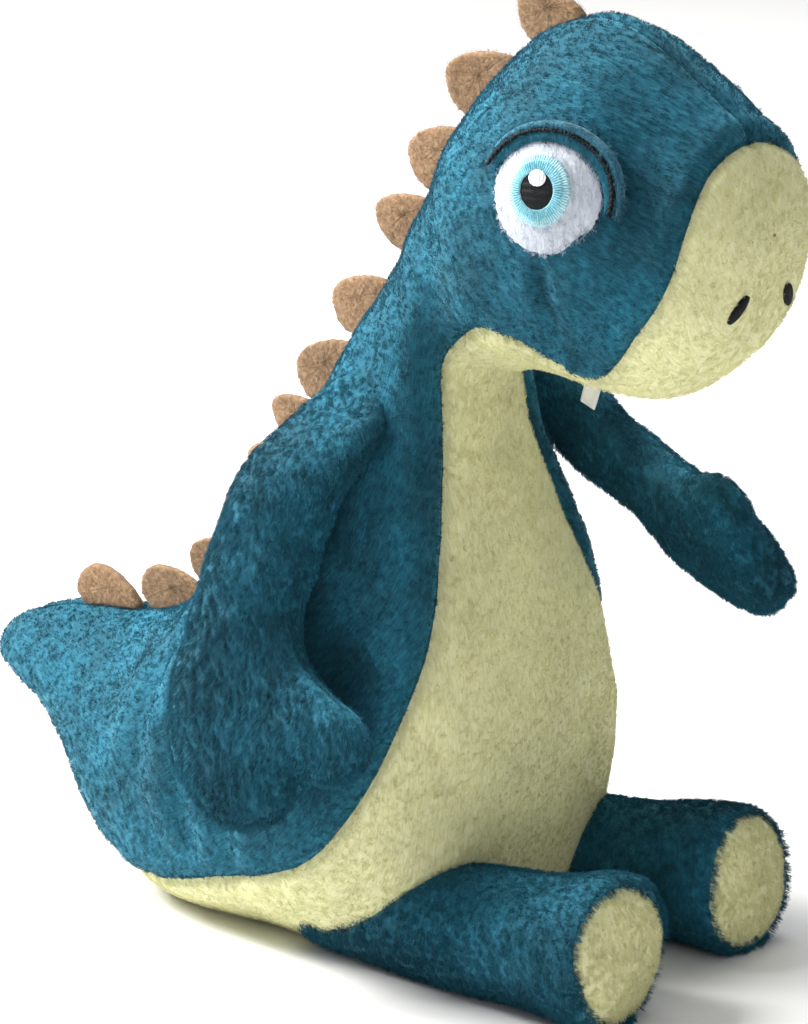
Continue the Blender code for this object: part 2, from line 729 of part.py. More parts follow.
def shoulder_room(side):
    """Flat round seat cut into the body's side for the arm's sewn end."""
    out = Vector(arm_axes(side)[2])
    sx = -1 if side == "right" else 1
    down = Vector((sx * sin(radians(SHOULDER_TILT)), 0, -cos(radians(SHOULDER_TILT))))
    centre = Vector((SHOULDER[0] * sx, SHOULDER[1], SHOULDER[2])) + down * SEAT_DROP
    height = 40
    bm = bmesh.new()
    bmesh.ops.create_cone(
        bm, cap_ends=True, segments=32, radius1=SHOULDER_SEAT * MM, radius2=SHOULDER_SEAT * MM,
        depth=height * MM,
    )
    turn = Vector((0, 0, 1)).rotation_difference(out).to_matrix().to_4x4()
    middle = (centre + out * (height / 2 - SEAT_DEPTH)) * MM
    bmesh.ops.transform(bm, matrix=Matrix.Translation(middle) @ turn, verts=bm.verts)
    mesh = bpy.data.meshes.new(f"{side}_shoulder_room")
    bm.to_mesh(mesh)
    bm.free()
    return add_object(f"{side}_shoulder_room", mesh, None, cutters)


# ---------------------------------------------------------------- face and spines

def face_axes(at):
    """Point, right-hand tangent along the body, tangent towards the back, and normal."""
    t, v = at[0], radians(at[1])
    point = surface(t, v)
    normal = outward(t, v)
    up = np.array([0, 0, 1.0])
    top = up - normal * (up @ normal)
    top /= np.linalg.norm(top)
    return point, np.cross(top, normal), top, normal


def on_skin(at, across, above, lift):
    """Points above the skin, at given offsets in the plane that touches it at a place."""
    centre, right, top, _ = face_axes(at)
    t = np.full(np.shape(across), float(at[0]))
    v = np.full(np.shape(across), radians(at[1]))
    step = 1e-4
    for _ in range(12):
        error = surface(t, v) - centre
        ea, eb = error @ right - across, error @ top - above
        dt = (surface(t + step, v) - surface(t, v)) / step
        dv = (surface(t, v + step) - surface(t, v)) / step
        a, b, c, d = dt @ right, dv @ right, dt @ top, dv @ top
        det = a * d - b * c
        t = t - (d * ea - b * eb) / det
        v = v - (a * eb - c * ea) / det
    return surface(t, v) + outward(t, v) * lift


def place_side(points, side):
    """The right side is the mirror of the left."""
    points = np.array(points)
    if side == "right":
        points[..., 0] *= -1
    return points


def patch(name, side, at, rings, low, high, material):
    """Low disc or band on the skin: rings are (radius, ...) from inside out, each a closed loop."""
    bottom = [on_skin(at, r[:, 0], r[:, 1], low) for r in rings]
    top = [on_skin(at, r[:, 0], r[:, 1], high) for r in rings]
    grid = np.array([*bottom, *top[::-1], bottom[0]])
    if np.ptp(rings[0][:, 0]) < 1e-6:
        grid = grid[:-1]
    grid = place_side(grid, side)
    rows, cols = grid.shape[:2]
    mesh = mesh_from(name, grid.reshape(-1, 3), grid_faces(rows, cols, True))
    tidy(mesh)
    return add_object(name, mesh, material)


def circle(radius, centre=(0, 0), sides=20):
    angle = np.linspace(0, 2 * pi, sides, endpoint=False)
    return np.column_stack([centre[0] + radius * np.cos(angle), centre[1] + radius * np.sin(angle)])


def arc_roll(name, side, radius, arc, wide, high, lift, material, steps=18):
    """Padded roll that follows an arc round the eye, thin at both ends."""
    angles = np.radians(np.linspace(*arc, steps))
    section = np.linspace(0, 2 * pi, 8, endpoint=False)
    rows = []
    for k, angle in enumerate(angles):
        grow = max(sin(pi * k / (steps - 1)), 0.0) ** 0.6 * 0.8 + 0.2
        r = radius + wide * grow * np.cos(section)
        up = lift + high * grow * (1 + np.sin(section)) / 2
        spot = on_skin(EYE_AT, r * cos(angle), r * sin(angle), 0.0)
        above = on_skin(EYE_AT, r * cos(angle), r * sin(angle), 1.0)
        rows.append(spot + (above - spot) * up[:, None])
    return loft(name, place_side(np.array(rows), side), material)


def build_eye(side):
    low, high = GAP, GAP + STITCH
    glint = (GLINT_AT[0] * (-1 if side == "left" else 1), GLINT_AT[1])
    iris_in = EYE_PUPIL + GAP
    patch(f"{side}_eye_white", side, EYE_AT, [circle(EYE_IRIS + GAP), circle(10), circle(EYE_WHITE)],
          low, high, WHITE)
    patch(f"{side}_eye_iris", side, EYE_AT, [circle(iris_in), circle(EYE_IRIS)], low, high, AQUA)
    inner = circle(EYE_GLINT + GAP, glint)
    patch(f"{side}_eye_pupil", side, EYE_AT, [inner, circle(EYE_PUPIL)], low, high, DARK)
    patch(f"{side}_eye_glint", side, EYE_AT, [circle(0, glint), circle(EYE_GLINT, glint)], low, high, WHITE)
    arc_roll(f"{side}_eyelid", side, LID_RADIUS + 0.6, LID_ARC, 2.0, 3.0, GAP, LID_TEAL)
    arc_roll(f"{side}_lash_line", side, 13.65, LASH_ARC, 0.35, 0.9, GAP, DARK)


def build_nostril(side):
    lean = radians(115)
    ring = circle(1.0, sides=16) * (3.8, 1.4)
    turned = ring @ np.array([[cos(lean), sin(lean)], [-sin(lean), cos(lean)]])
    patch(f"{side}_nostril", side, NOSTRIL_AT, [turned * 0, turned * 0.5, turned], GAP, GAP + 0.6, DARK)


def build_spine(index, first, last, height):
    t = np.linspace(first, last, 5)
    base = surface(t, 0.0)[:, 1:]
    normal = outward(t, 0.0)[:, 1:]
    root = base - normal * SPINE_ROOT
    share, rise = np.array(SPINE_LEAF).T
    chord = base[-1] - base[0]
    up = np.array([-chord[1], chord[0]]) / np.linalg.norm(chord)
    if up @ normal[2] < 0:
        up = -up
    leaf = base[0] + share[:, None] * chord + rise[:, None] * height * up
    fine = np.arange(0, len(leaf) - 1 + 1e-9, 0.5)
    edge = spline(leaf, fine)
    outline = np.vstack([root[::-1], edge])
    count = len(outline)
    points = [(x, y, z) for x in (-FELT / 2, FELT / 2) for y, z in outline]
    faces = [tuple(range(count)), tuple(range(2 * count - 1, count - 1, -1))]
    faces += [(i, (i + 1) % count, count + (i + 1) % count, count + i) for i in range(count)]
    mesh = mesh_from(f"spine_{index:02d}", points, faces)
    tidy(mesh)
    return add_object(f"spine_{index:02d}", mesh, FELT_TAN)


def build_label():
    """Blank care label, folded double and sewn into the jaw seam on the left."""
    width, length, thick = 4.5, 21.0, 0.6
    bm = bmesh.new()
    bmesh.ops.create_cube(bm, size=MM)
    bmesh.ops.scale(bm, vec=(thick, width, length), verts=bm.verts)
    place = Matrix.Translation(Vector((20.9, -35.5, 146.4)) * MM)
    place = place @ Matrix.Rotation(radians(-12), 4, "Y") @ Matrix.Rotation(radians(20), 4, "X")
    bmesh.ops.transform(bm, matrix=place, verts=bm.verts)
    mesh = bpy.data.meshes.new("care_label")
    bm.to_mesh(mesh)
    bm.free()
    add_object("care_label", mesh, SATIN)


# ---------------------------------------------------------------- build

build_body()
torso = [bpy.data.objects[n] for n in ("belly_panel", "body_side_right", "body_side_left", "torso_stuffing")]
for side in ("right", "left"):
    rooms = [leg_clearance(side), shoulder_room(side)]
    for piece in torso:
        for room in rooms:
            combine(piece, room, "DIFFERENCE")
    build_leg(side)
    build_arm(side)
    build_eye(side)
    build_nostril(side)
for number, (first, last, height) in enumerate(SPINES, 1):
    build_spine(number, first, last, height)
build_label()
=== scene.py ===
"""Looks of the sitting stuffed dinosaur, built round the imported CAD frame.

Frame: the toy faces -Y, its tail points to +Y, its left is +X, and its seat lies on z = 0.
Tables are in millimetres, as in the CAD source, and are turned into metres when a mesh is made.
"""

from math import cos, pi, radians, sin, sqrt

import bmesh
import bpy
import numpy as np
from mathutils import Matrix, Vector


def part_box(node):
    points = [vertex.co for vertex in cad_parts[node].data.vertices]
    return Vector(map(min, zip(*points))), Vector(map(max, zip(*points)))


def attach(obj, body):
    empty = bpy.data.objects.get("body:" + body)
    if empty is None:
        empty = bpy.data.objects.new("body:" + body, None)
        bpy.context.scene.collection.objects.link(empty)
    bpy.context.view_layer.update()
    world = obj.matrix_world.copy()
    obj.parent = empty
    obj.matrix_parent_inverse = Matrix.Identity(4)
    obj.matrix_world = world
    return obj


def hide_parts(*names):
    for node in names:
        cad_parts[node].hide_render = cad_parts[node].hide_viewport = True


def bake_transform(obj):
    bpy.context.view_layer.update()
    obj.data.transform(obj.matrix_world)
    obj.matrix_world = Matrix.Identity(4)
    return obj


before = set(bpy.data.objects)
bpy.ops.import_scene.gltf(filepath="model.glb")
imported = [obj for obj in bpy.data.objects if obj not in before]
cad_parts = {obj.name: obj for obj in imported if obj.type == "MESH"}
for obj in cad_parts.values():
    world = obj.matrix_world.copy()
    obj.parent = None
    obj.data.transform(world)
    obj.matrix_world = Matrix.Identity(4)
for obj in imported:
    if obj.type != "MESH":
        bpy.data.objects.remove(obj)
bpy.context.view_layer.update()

MM = 0.001
CLOTH = 0.9  # thickness of the plush without its pile
STEP = 1.5  # mm between points of the skins
UV_UNIT = 100  # mm of fabric per unit of its UV map
SEED = 11

# One ring of the body per row, from the tail tip to the snout: back point (y, z), belly point
# (y, z), half width, where the ring is widest (share from back to belly), squareness below.
STATIONS = (
    (144, 50, 144, 48, 0, 0.50, 2.0),
    (137, 58, 140, 41, 11, 0.50, 2.0),
    (116, 64, 117, 31, 22, 0.50, 2.0),
    (92, 67, 93, 12, 34, 0.55, 2.2),
    (72, 76, 64, -2, 45, 0.62, 2.6),
    (57, 95, 26, -1, 51, 0.66, 2.9),
    (45, 115, -13, -1, 52, 0.68, 2.7),
    (34, 131, -35, 16, 50, 0.68, 2.3),
    (24, 147, -40, 48, 45, 0.68, 2.0),
    (16, 160, -37, 78, 37, 0.66, 2.0),
    (9, 171, -29, 104, 29, 0.60, 2.0),
    (3, 181, -23, 128, 24.5, 0.55, 2.0),
    (-3, 191, -21, 146, 24, 0.50, 2.0),
    (-10, 203, -30, 151, 26, 0.50, 2.0),
    (-18, 216, -41, 152, 33, 0.50, 2.0),
    (-29, 229.5, -52, 151, 37.5, 0.50, 2.0),
    (-42, 238.5, -62, 150, 39, 0.50, 2.0),
    (-54.5, 241, -71.5, 150, 38.5, 0.50, 2.0),
    (-67, 237.5, -80, 152, 36, 0.50, 2.0),
    (-79, 230, -86.5, 156.5, 32, 0.50, 2.1),
    (-91.5, 221.5, -95, 164, 27, 0.50, 2.2),
    (-99.5, 210, -100.3, 176.5, 18.2, 0.50, 2.1),
    (-103.2, 194, -103.2, 194, 0, 0.50, 2.0),
)
LAST = len(STATIONS) - 1
MIRROR_ROWS = 3  # stations repeated past each tip, so that both ends come out round

# Angle round the ring, in degrees from the back, of the seam between side and belly.
BELLY_SEAM = (134, 134, 137, 136, 126, 108, 97, 95, 107, 119, 128, 134, 136, 127, 126, 134, 146,
              150, 151, 153, 157, 159, 159)
# Station of the muzzle seam at every tenth of the way from the back to the jaw seam.
MUZZLE_SEAM = (20.52, 20.51, 20.45, 20.37, 20.3, 20.17, 19.93, 19.52, 18.87, 17.75, 16.5)
HEAD_ROWS_FROM = 16  # ring where the head panels start to follow the muzzle seam
# Felt spines from the tail up: first and last station along the back, height.
SPINES = (
    (1.95, 2.80, 9.5), (2.95, 3.85, 9.5), (3.98, 4.68, 10.5), (4.78, 5.42, 11.0),
    (5.50, 6.17, 11.5), (6.25, 6.95, 12.5), (7.02, 8.10, 12.5), (8.25, 9.55, 13.0),
    (10.35, 11.75, 13.5), (12.00, 13.35, 13.5), (13.60, 14.80, 13.5), (15.20, 16.35, 12.5),
)
SPINE_LEAF = ((0.0, 0.0), (-0.07, 0.36), (0.0, 0.72), (0.16, 0.96), (0.34, 1.0), (0.56, 0.85),
              (0.78, 0.55), (0.93, 0.24), (1.0, 0.0))
FELT = 2.6  # thickness of the felt spines
EYE_AT = (17.08, 78.4)  # station and angle of the eye's centre
NOSTRIL_AT = (20.89, 149)
NOSTRIL_HALF = (4.1, 1.65)  # half length and half width
NOSTRIL_LEAN = 128

# Arm outline in the arm's own plane (down, forward) round the mitten from the top.
ARM_OUTLINE = (
    (-9, -1), (-7, -9), (2, -14.5), (16, -18), (30, -21), (46, -24), (62, -26), (76, -28.5),
    (90, -27.5), (101, -20), (107, -8), (104.5, 3), (97, 10), (91.5, 12.5), (91, 21),
    (87, 28.5), (80.5, 30.5), (74, 26), (69, 16), (61, 6), (48, 2), (34, 5), (18, 8.5),
    (4, 11), (-6, 7),
)
ARM_SPINE = ((0, -1, 3.4), (7, -3, 5.4), (16, -5.5, 7.6), (28, -8, 9.0), (42, -10.5, 9.5),
             (56, -12, 9.5), (70, -12.5, 9.5), (82, -11.5, 9.5), (94, -9, 8.4))
THUMB_SPINE = ((79, 3, 8.2), (81, 12, 7.6), (82.5, 20, 7.0))
# How far the arm's middle stands out from a flat plane, along its length.
ARM_BOW = ((-9, -3.0), (0, -0.6), (10, 4.6), (18, 8.0), (25, 9.4), (50, 7.6), (75, 3.0), (92, 0.0),
           (108, -2.0))
INNER_FACE = 0.85  # fullness of the face towards the body, beside the outer one
SHOULDER = (26.0, 3.0, 141.0)
SHOULDER_TILT = 24.3  # degrees that the shoulder axis, which points out, tilts up
ARM_SWING = dict(right=0, left=58)  # how far forward each arm is raised at rest
ARM_TWIST = dict(right=0, left=20)  # turn of the hand about the arm's length
ARM_SIZE = dict(right=1.0, left=0.9)  # the left arm is a smaller copy
TWIST_FROM = 12  # the twist sets in between these distances down the arm
TWIST_TO = 62
HIP = dict(right=(-30, 8, 12), left=(30, 13, 12))
SOLE = dict(right=(-31, -82, 19), left=(31, -77, 19))
# Leg turned about its axis: (along, radius) from the hip to the mouth, which is tucked in.
LEG_PROFILE = ((-11, 0.0), (-9.6, 5.0), (-6, 9.4), (0, 11.6), (15, 13.0), (45, 15.3), (75, 17.6),
               (84, 18.6), (87.5, 18.7), (89.6, 18.2), (90.2, 17.3), (89.4, 16.4), (87.5, 15.6),
               (87.0, 12.0), (87.0, 0.0))
SOLE_SEAT = 88.0  # how far down the leg the sole's pad starts
SOLE_RISE = 5.6  # how far it bulges
SOLE_RADIUS = 17.2


# ---- body surface, as in the CAD source

def spline(rows, at):
    """Natural cubic through rows spaced one apart, read at the given places."""
    rows = np.asarray(rows, float)
    at = np.asarray(at, float)
    count = len(rows)
    lhs = np.eye(count)
    rhs = np.zeros_like(rows)
    for i in range(1, count - 1):
        lhs[i, i - 1:i + 2] = (1, 4, 1)
        rhs[i] = 6 * (rows[i + 1] - 2 * rows[i] + rows[i - 1])
    bend = np.linalg.solve(lhs, rhs)
    i = np.clip(np.floor(at).astype(int), 0, count - 2)
    a = (at - i).reshape(at.shape + (1,) * (rows.ndim - 1))
    b = 1 - a
    return b * rows[i] + a * rows[i + 1] + ((b**3 - b) * bend[i] + (a**3 - a) * bend[i + 1]) / 6


def station_table():
    """Middle point and squareness (even past a tip), up and down vectors and width (odd)."""
    rows = np.array(STATIONS, float)
    back, belly = rows[:, 0:2], rows[:, 2:4]
    middle = back + (belly - back) * rows[:, 5:6]
    table = np.hstack([middle, rows[:, 6:7], back - middle, belly - middle, rows[:, 4:5]])
    flip = np.array([1, 1, 1, -1, -1, -1, -1, -1])
    before = table[1:MIRROR_ROWS + 1][::-1] * flip
    after = table[-MIRROR_ROWS - 1:-1][::-1] * flip
    return np.vstack([before, table, after])


TABLE = station_table()


def surface(t, v):
    """Skin point in mm at station t and angle v (0 back, pi belly, past pi the right side)."""
    t, v = np.broadcast_arrays(np.asarray(t, float), np.asarray(v, float))
    row = spline(TABLE, t + MIRROR_ROWS)
    side, up = np.sin(v), np.cos(v)
    low = up < 0
    power = np.where(low, 2 / row[..., 2], 1.0)
    across = np.sign(side) * np.abs(side)**power
    along = np.abs(up)**power
    y = row[..., 0] + np.where(low, row[..., 5], row[..., 3]) * along
    z = row[..., 1] + np.where(low, row[..., 6], row[..., 4]) * along
    return np.stack([row[..., 7] * across, y, z], -1)


def outward(t, v):
    """Unit normal of the skin."""
    step = 1e-3
    around = surface(t, v + step) - surface(t, v - step)
    along = surface(t + step, v) - surface(t - step, v)
    normal = np.cross(along, around)
    return normal / np.maximum(np.linalg.norm(normal, axis=-1, keepdims=True), 1e-12)


def speed(t, v, about):
    """Millimetres of skin per unit of station (about 't') or of angle (about 'v')."""
    step = 1e-3
    if about == "v":
        move = surface(t, v + step) - surface(t, v - step)
    else:
        move = surface(t + step, v) - surface(t - step, v)
    return np.maximum(np.linalg.norm(move, axis=-1) / (2 * step), 0.9)


def belly_seam(t):
    return spline(np.radians(BELLY_SEAM), t)


def muzzle_seam(share):
    """Station of the muzzle seam at a share of the way from the back to the jaw seam."""
    return spline(np.array(MUZZLE_SEAM), share * (len(MUZZLE_SEAM) - 1))


# ---- relief of the stuffed body

def half_angle(v):
    """Angle from the back midline, the same on both sides."""
    v = np.mod(v, 2 * pi)
    return np.where(v > pi, 2 * pi - v, v)


def bump(distance, width):
    return np.exp(-(distance / width) ** 2)


def ease(value, low, high):
    share = np.clip((value - low) / (high - low), 0, 1)
    return share * share * (3 - 2 * share)


PILE_ROOM = 1.1  # the cloth lies this much inside the CAD skin, which the pile fills up
WAVES = np.random.default_rng(SEED).normal(size=(28, 4))


def lumps(points, wavelength):
    """Smooth uneven filling, about -1 to 1, from a fixed set of waves."""
    total = np.zeros(points.shape[:-1])
    for k, wave in enumerate(WAVES):
        direction = wave[:3] / np.linalg.norm(wave[:3])
        scale = wavelength * (0.7 + 0.6 * (k % 7) / 6)
        total += np.sin(points @ direction * (2 * pi / scale) + 9 * wave[3])
    return total / sqrt(len(WAVES))


# Creases and ridges of the fabric: (side or 0 for both, height, width, path of (station, angle)).
FOLDS = (
    (0, -1.5, 2.6, ((16.63, 96), (16.54, 107), (16.34, 120), (16.18, 129))),
    (0, 0.5, 3.5, ((16.25, 96), (16.1, 110), (15.9, 124))),
    (-1, 1.2, 5.5, ((4.31, 31), (4.12, 47), (4.05, 60), (3.94, 71), (3.9, 84))),
    (-1, -1.0, 4.2, ((4.75, 35), (4.5, 50), (4.38, 62), (4.3, 75), (4.25, 92))),
    (-1, 1.4, 4.7, ((5.25, 43), (4.84, 51), (4.69, 62), (4.63, 74), (4.65, 87), (4.78, 101))),
    (-1, -1.3, 3.6, ((5.35, 52), (5.02, 62), (4.9, 74), (4.88, 87), (4.98, 103))),
    (-1, 1.0, 4.2, ((5.25, 70), (5.1, 82), (5.12, 94), (5.2, 104))),
    (-1, -0.9, 3.4, ((5.42, 76), (5.32, 87), (5.28, 98), (5.33, 108))),
    (-1, 0.7, 3.6, ((5.58, 80), (5.5, 92), (5.46, 104), (5.5, 112))),
    (1, 1.0, 5.7, ((4.5, 36), (4.2, 52), (4.1, 68), (4.15, 86))),
    (1, -1.0, 4.4, ((4.95, 40), (4.65, 55), (4.5, 72), (4.55, 92))),
    (1, 1.0, 4.7, ((5.4, 50), (5.05, 66), (4.95, 82), (5.05, 98))),
    (0, -2.2, 3.2, ((12.2, 118), (12.1, 135), (12.2, 150), (12.35, 165), (12.4, 180))),
    (0, 1.4, 4.0, ((12.9, 124), (12.8, 145), (12.8, 165), (12.8, 180))),
    (0, -0.8, 3.2, ((10.85, 120), (10.95, 140), (11.05, 160), (11.05, 180))),
    (0, 0.5, 3.5, ((11.45, 125), (11.5, 150), (11.5, 180))),
    (0, -1.5, 3.0, ((3.75, 92), (3.7, 110), (3.72, 140), (3.72, 180))),
    (-1, -0.8, 2.9, ((5.27, 106), (5.45, 118), (5.6, 128), (5.62, 142))),
    (0, -1.6, 3.6, ((8.43, 31), (8.9, 45), (9.4, 62), (9.89, 85))),
    (0, 0.8, 4.0, ((16.5, 142), (16.3, 138), (16.0, 136))),
)


def along_path(path, steps=10):
    """Finely spaced points in mm along a path over the CAD skin, on the left side."""
    rows = np.array(path, float)
    at = np.linspace(0, len(rows) - 1, (len(rows) - 1) * steps + 1)
    fine = spline(rows, at)
    return surface(fine[:, 0], np.radians(fine[:, 1]))


FOLD_LINES = [(side, height, width, along_path(path)) for side, height, width, path in FOLDS]


def fold_relief(points):
    """Sum of the folds near each point; each fades out towards its free ends."""
    flat = points.reshape(-1, 3)
    total = np.zeros(len(flat))
    for side, height, width, line in FOLD_LINES:
        on_midline = line[-1, 0] < 1  # both mirrored copies end there, so each counts half
        for sign in ((-1, 1) if side == 0 else (side,)):
            path = line * (sign, 1, 1)
            low, high = path.min(0) - 4 * width, path.max(0) + 4 * width
            near = np.flatnonzero(((flat > low) & (flat < high)).all(1))
            if not len(near):
                continue
            gap = np.linalg.norm(flat[near][:, None] - path[None], axis=-1)
            best = gap.argmin(1)
            share = best / (len(path) - 1)
            push = height * ease(share, 0, 0.25) * bump(gap.min(1), width)
            if on_midline:
                push = 0.5 * push
            else:
                push = push * (1 - ease(share, 0.75, 1))
            total[near] += push
    return total.reshape(points.shape[:-1])


# Seams: depth and width of the groove, then height, distance and width of the fullness beside it.
BELLY_PRESS = (1.5, 1.7, 0.7, 6, 4)
BACK_PRESS = (0.9, 1.6, 0.3, 5, 3.5)
MUZZLE_PRESS = (1.3, 1.6, 0.7, 5.5, 3.5)
ARM_PRESS = (0.8, 1.5, 0.45, 4, 2.6)
JAW = (16.8, 17.6)  # stations over which the belly seam goes flat under the jaw
FLOOR_FADE = 6.0  # the relief dies out this far above the floor


def pressed_seam(distance, depth, width, rise, beside, spread):
    return -depth * bump(distance, width) + rise * bump(np.abs(distance) - beside, spread)


def relief(t, v):
    """How far the stuffed skin stands out from the CAD skin, in mm."""
    a = half_angle(v)
    points = surface(t, v)
    from_belly = (a - belly_seam(t)) * speed(t, a, "v")
    from_back = a * speed(t, np.full_like(a, 0.02), "v")
    share = np.clip(a / belly_seam(t), 0, 1)
    from_muzzle = (t - muzzle_seam(share)) * speed(t, a, "t")
    on_muzzle = ease(from_muzzle, 0, 6)
    on_jaw = ease(t, *JAW)
    on_side = 1 - ease(a - belly_seam(t), 0, 0.05)
    height = (1 - 0.85 * on_jaw) * pressed_seam(from_belly, *BELLY_PRESS)
    height += (1 - 0.5 * on_muzzle) * pressed_seam(from_back, *BACK_PRESS)
    height += on_side * pressed_seam(from_muzzle, *MUZZLE_PRESS)
    height += (1 - 0.6 * on_muzzle) * (0.55 * lumps(points, 46) + 0.2 * lumps(points + 40, 15))
    height += fold_relief(points) - PILE_ROOM
    return height * ease(points[..., 2], 0.0, FLOOR_FADE)


def plush(t, v):
    """Point on the stuffed skin in mm."""
    t, v = np.broadcast_arrays(np.asarray(t, float), np.asarray(v, float))
    point = surface(t, v) + relief(t, v)[..., None] * outward(t, v)
    point[..., 2] = np.maximum(point[..., 2], 0.15)
    return point


# ---- mesh helpers

def grid_faces(rows, cols, closed=False):
    spans = range(cols if closed else cols - 1)
    return [
        (row + j, row + (j + 1) % cols, row + cols + (j + 1) % cols, row + cols + j)
        for row in range(0, (rows - 1) * cols, cols)
        for j in spans
    ]


def add_mesh(name, points, faces, materials):
    """Object from points in mm."""
    mesh = bpy.data.meshes.new(name)
    mesh.from_pydata((np.asarray(points, float).reshape(-1, 3) * MM).tolist(), [], faces)
    mesh.update()
    for material in materials:
        mesh.materials.append(material)
    mesh.shade_smooth()
    item = bpy.data.objects.new(name, mesh)
    bpy.context.scene.collection.objects.link(item)
    return item


def weigh(item, name, weights):
    group = item.vertex_groups.new(name=name)
    group.add(np.flatnonzero(np.asarray(weights) > 0.5).tolist(), 1.0, "REPLACE")


def set_uv(item, coordinates):
    """One pair of numbers per point, in mm along the fabric."""
    layer = item.data.uv_layers.new(name="fabric")
    corners = np.zeros(len(item.data.loops), np.int32)
    item.data.loops.foreach_get("vertex_index", corners)
    layer.data.foreach_set("uv", np.asarray(coordinates, np.float32)[corners].ravel())


def sewn(item, merge, split=False):
    """Merge doubled points, close open ends and turn every face outwards."""
    bm = bmesh.new()
    bm.from_mesh(item.data)
    bmesh.ops.remove_doubles(bm, verts=bm.verts, dist=merge * MM)
    bmesh.ops.holes_fill(bm, edges=[e for e in bm.edges if e.is_boundary], sides=0)
    if split:
        bmesh.ops.triangulate(bm, faces=[f for f in bm.faces if len(f.verts) > 4])
    bmesh.ops.recalc_face_normals(bm, faces=bm.faces)
    bm.to_mesh(item.data)
    bm.free()


def closed_form(name, rings, material):
    """Mesh through closed rings of points; rings that shrink to a point close it."""
    item = add_mesh(name, rings, grid_faces(*rings.shape[:2], True), [material])
    sewn(item, 0.02)
    item.data.shade_smooth()
    return item


def shell(name, grid, material):
    """Fabric panel: outer and inner face of a grid of points, closed round its edge."""
    rows, cols = grid.shape[:2]
    normal = np.cross(np.gradient(grid, axis=0), np.gradient(grid, axis=1))
    normal /= np.maximum(np.linalg.norm(normal, axis=-1, keepdims=True), 1e-9)
    core = (grid * (0, 1, 1)).mean(1, keepdims=True)
    inside_out = ((grid - core) * normal).sum() < 0
    if inside_out:
        normal = -normal
    inner = grid - normal * CLOTH
    inner[..., 2] = np.maximum(inner[..., 2], grid[..., 2].min() + 0.05)
    count = rows * cols
    outside = grid_faces(rows, cols)
    inside = [tuple(count + i for i in reversed(face)) for face in outside]
    ring = [j for j in range(cols)] + [i * cols + cols - 1 for i in range(1, rows)]
    ring += [(rows - 1) * cols + j for j in range(cols - 2, -1, -1)]
    ring += [i * cols for i in range(rows - 2, 0, -1)]
    rim = [(b, a, a + count, b + count) for a, b in zip(ring, ring[1:] + ring[:1])]
    faces = outside + inside + rim
    if inside_out:
        faces = [tuple(reversed(face)) for face in faces]
    points = np.concatenate([grid.reshape(-1, 3), inner.reshape(-1, 3)])
    item = add_mesh(name, points, faces, [material])
    flat = uv_grid(grid).reshape(-1, 2)
    set_uv(item, np.concatenate([flat, flat]))
    weigh(item, "pile", np.r_[np.ones(count), np.zeros(count)])
    item.data.set_sharp_from_angle(angle=radians(55))
    return item


def warp(count, pull=0.08):
    """Shares from 0 to 1 that crowd towards both ends, where the seams are."""
    share = np.linspace(0, 1, count)
    return share - pull * np.sin(2 * pi * share)


def stations(start, end, angle=80):
    """Stations from start to end about one step of skin apart."""
    fine = np.linspace(start, end, 800)
    line = surface(fine, np.full(800, radians(angle)))
    travelled = np.r_[0, np.cumsum(np.linalg.norm(np.diff(line, axis=0), axis=1))]
    count = max(int(travelled[-1] / STEP), 3)
    return np.interp(np.linspace(0, travelled[-1], count + 1), travelled, fine)


def uv_grid(points):
    """Place along and across the fabric, from the first row and from the middle of each row."""
    along = np.linalg.norm(np.diff(points, axis=0), axis=-1).mean(1)
    across = np.linalg.norm(np.diff(points, axis=1), axis=-1)
    u = np.r_[0, np.cumsum(along)][:, None] + 0 * points[..., 0]
    w = np.concatenate([np.zeros((len(points), 1)), np.cumsum(across, axis=1)], axis=1)
    return np.stack([w - w.mean(1, keepdims=True), u], -1) / UV_UNIT


# ---- materials

def node_material(name, base, roughness):
    material = bpy.data.materials.new(name)
    material.use_nodes = True
    tree = material.node_tree
    shader = tree.nodes["Principled BSDF"]
    shader.inputs["Base Color"].default_value = (*base, 1)
    shader.inputs["Roughness"].default_value = roughness
    return material, tree, shader


def add_node(tree, kind, **settings):
    node = tree.nodes.new(kind)
    for key, value in settings.items():
        if hasattr(node, key):
            setattr(node, key, value)
        else:
            node.inputs[key.replace("_", " ")].default_value = value
    return node


def ramp(tree, source, stops):
    """Colour ramp through (place, colour) stops."""
    stops = list(stops)
    node = tree.nodes.new("ShaderNodeValToRGB")
    elements = node.color_ramp.elements
    while len(elements) < len(stops):
        elements.new(0.5)
    for element, (place, colour) in zip(elements, stops):
        element.position = place
        element.color = (*colour, 1)
    tree.links.new(source, node.inputs["Fac"])
    return node.outputs["Color"]


def grey(value):
    return (value, value, value)


def mix(tree, kind, amount, first, second):
    node = tree.nodes.new("ShaderNodeMix")
    node.data_type = "RGBA"
    node.blend_type = kind
    for socket, value in (("Factor", amount), ("A", first), ("B", second)):
        slot = next(s for s in node.inputs if s.name == socket and s.enabled)
        if isinstance(value, (int, float)):
            slot.default_value = value
        elif isinstance(value, tuple):
            slot.default_value = (*value, 1)
        else:
            tree.links.new(value, slot)
    return next(s for s in node.outputs if s.enabled)


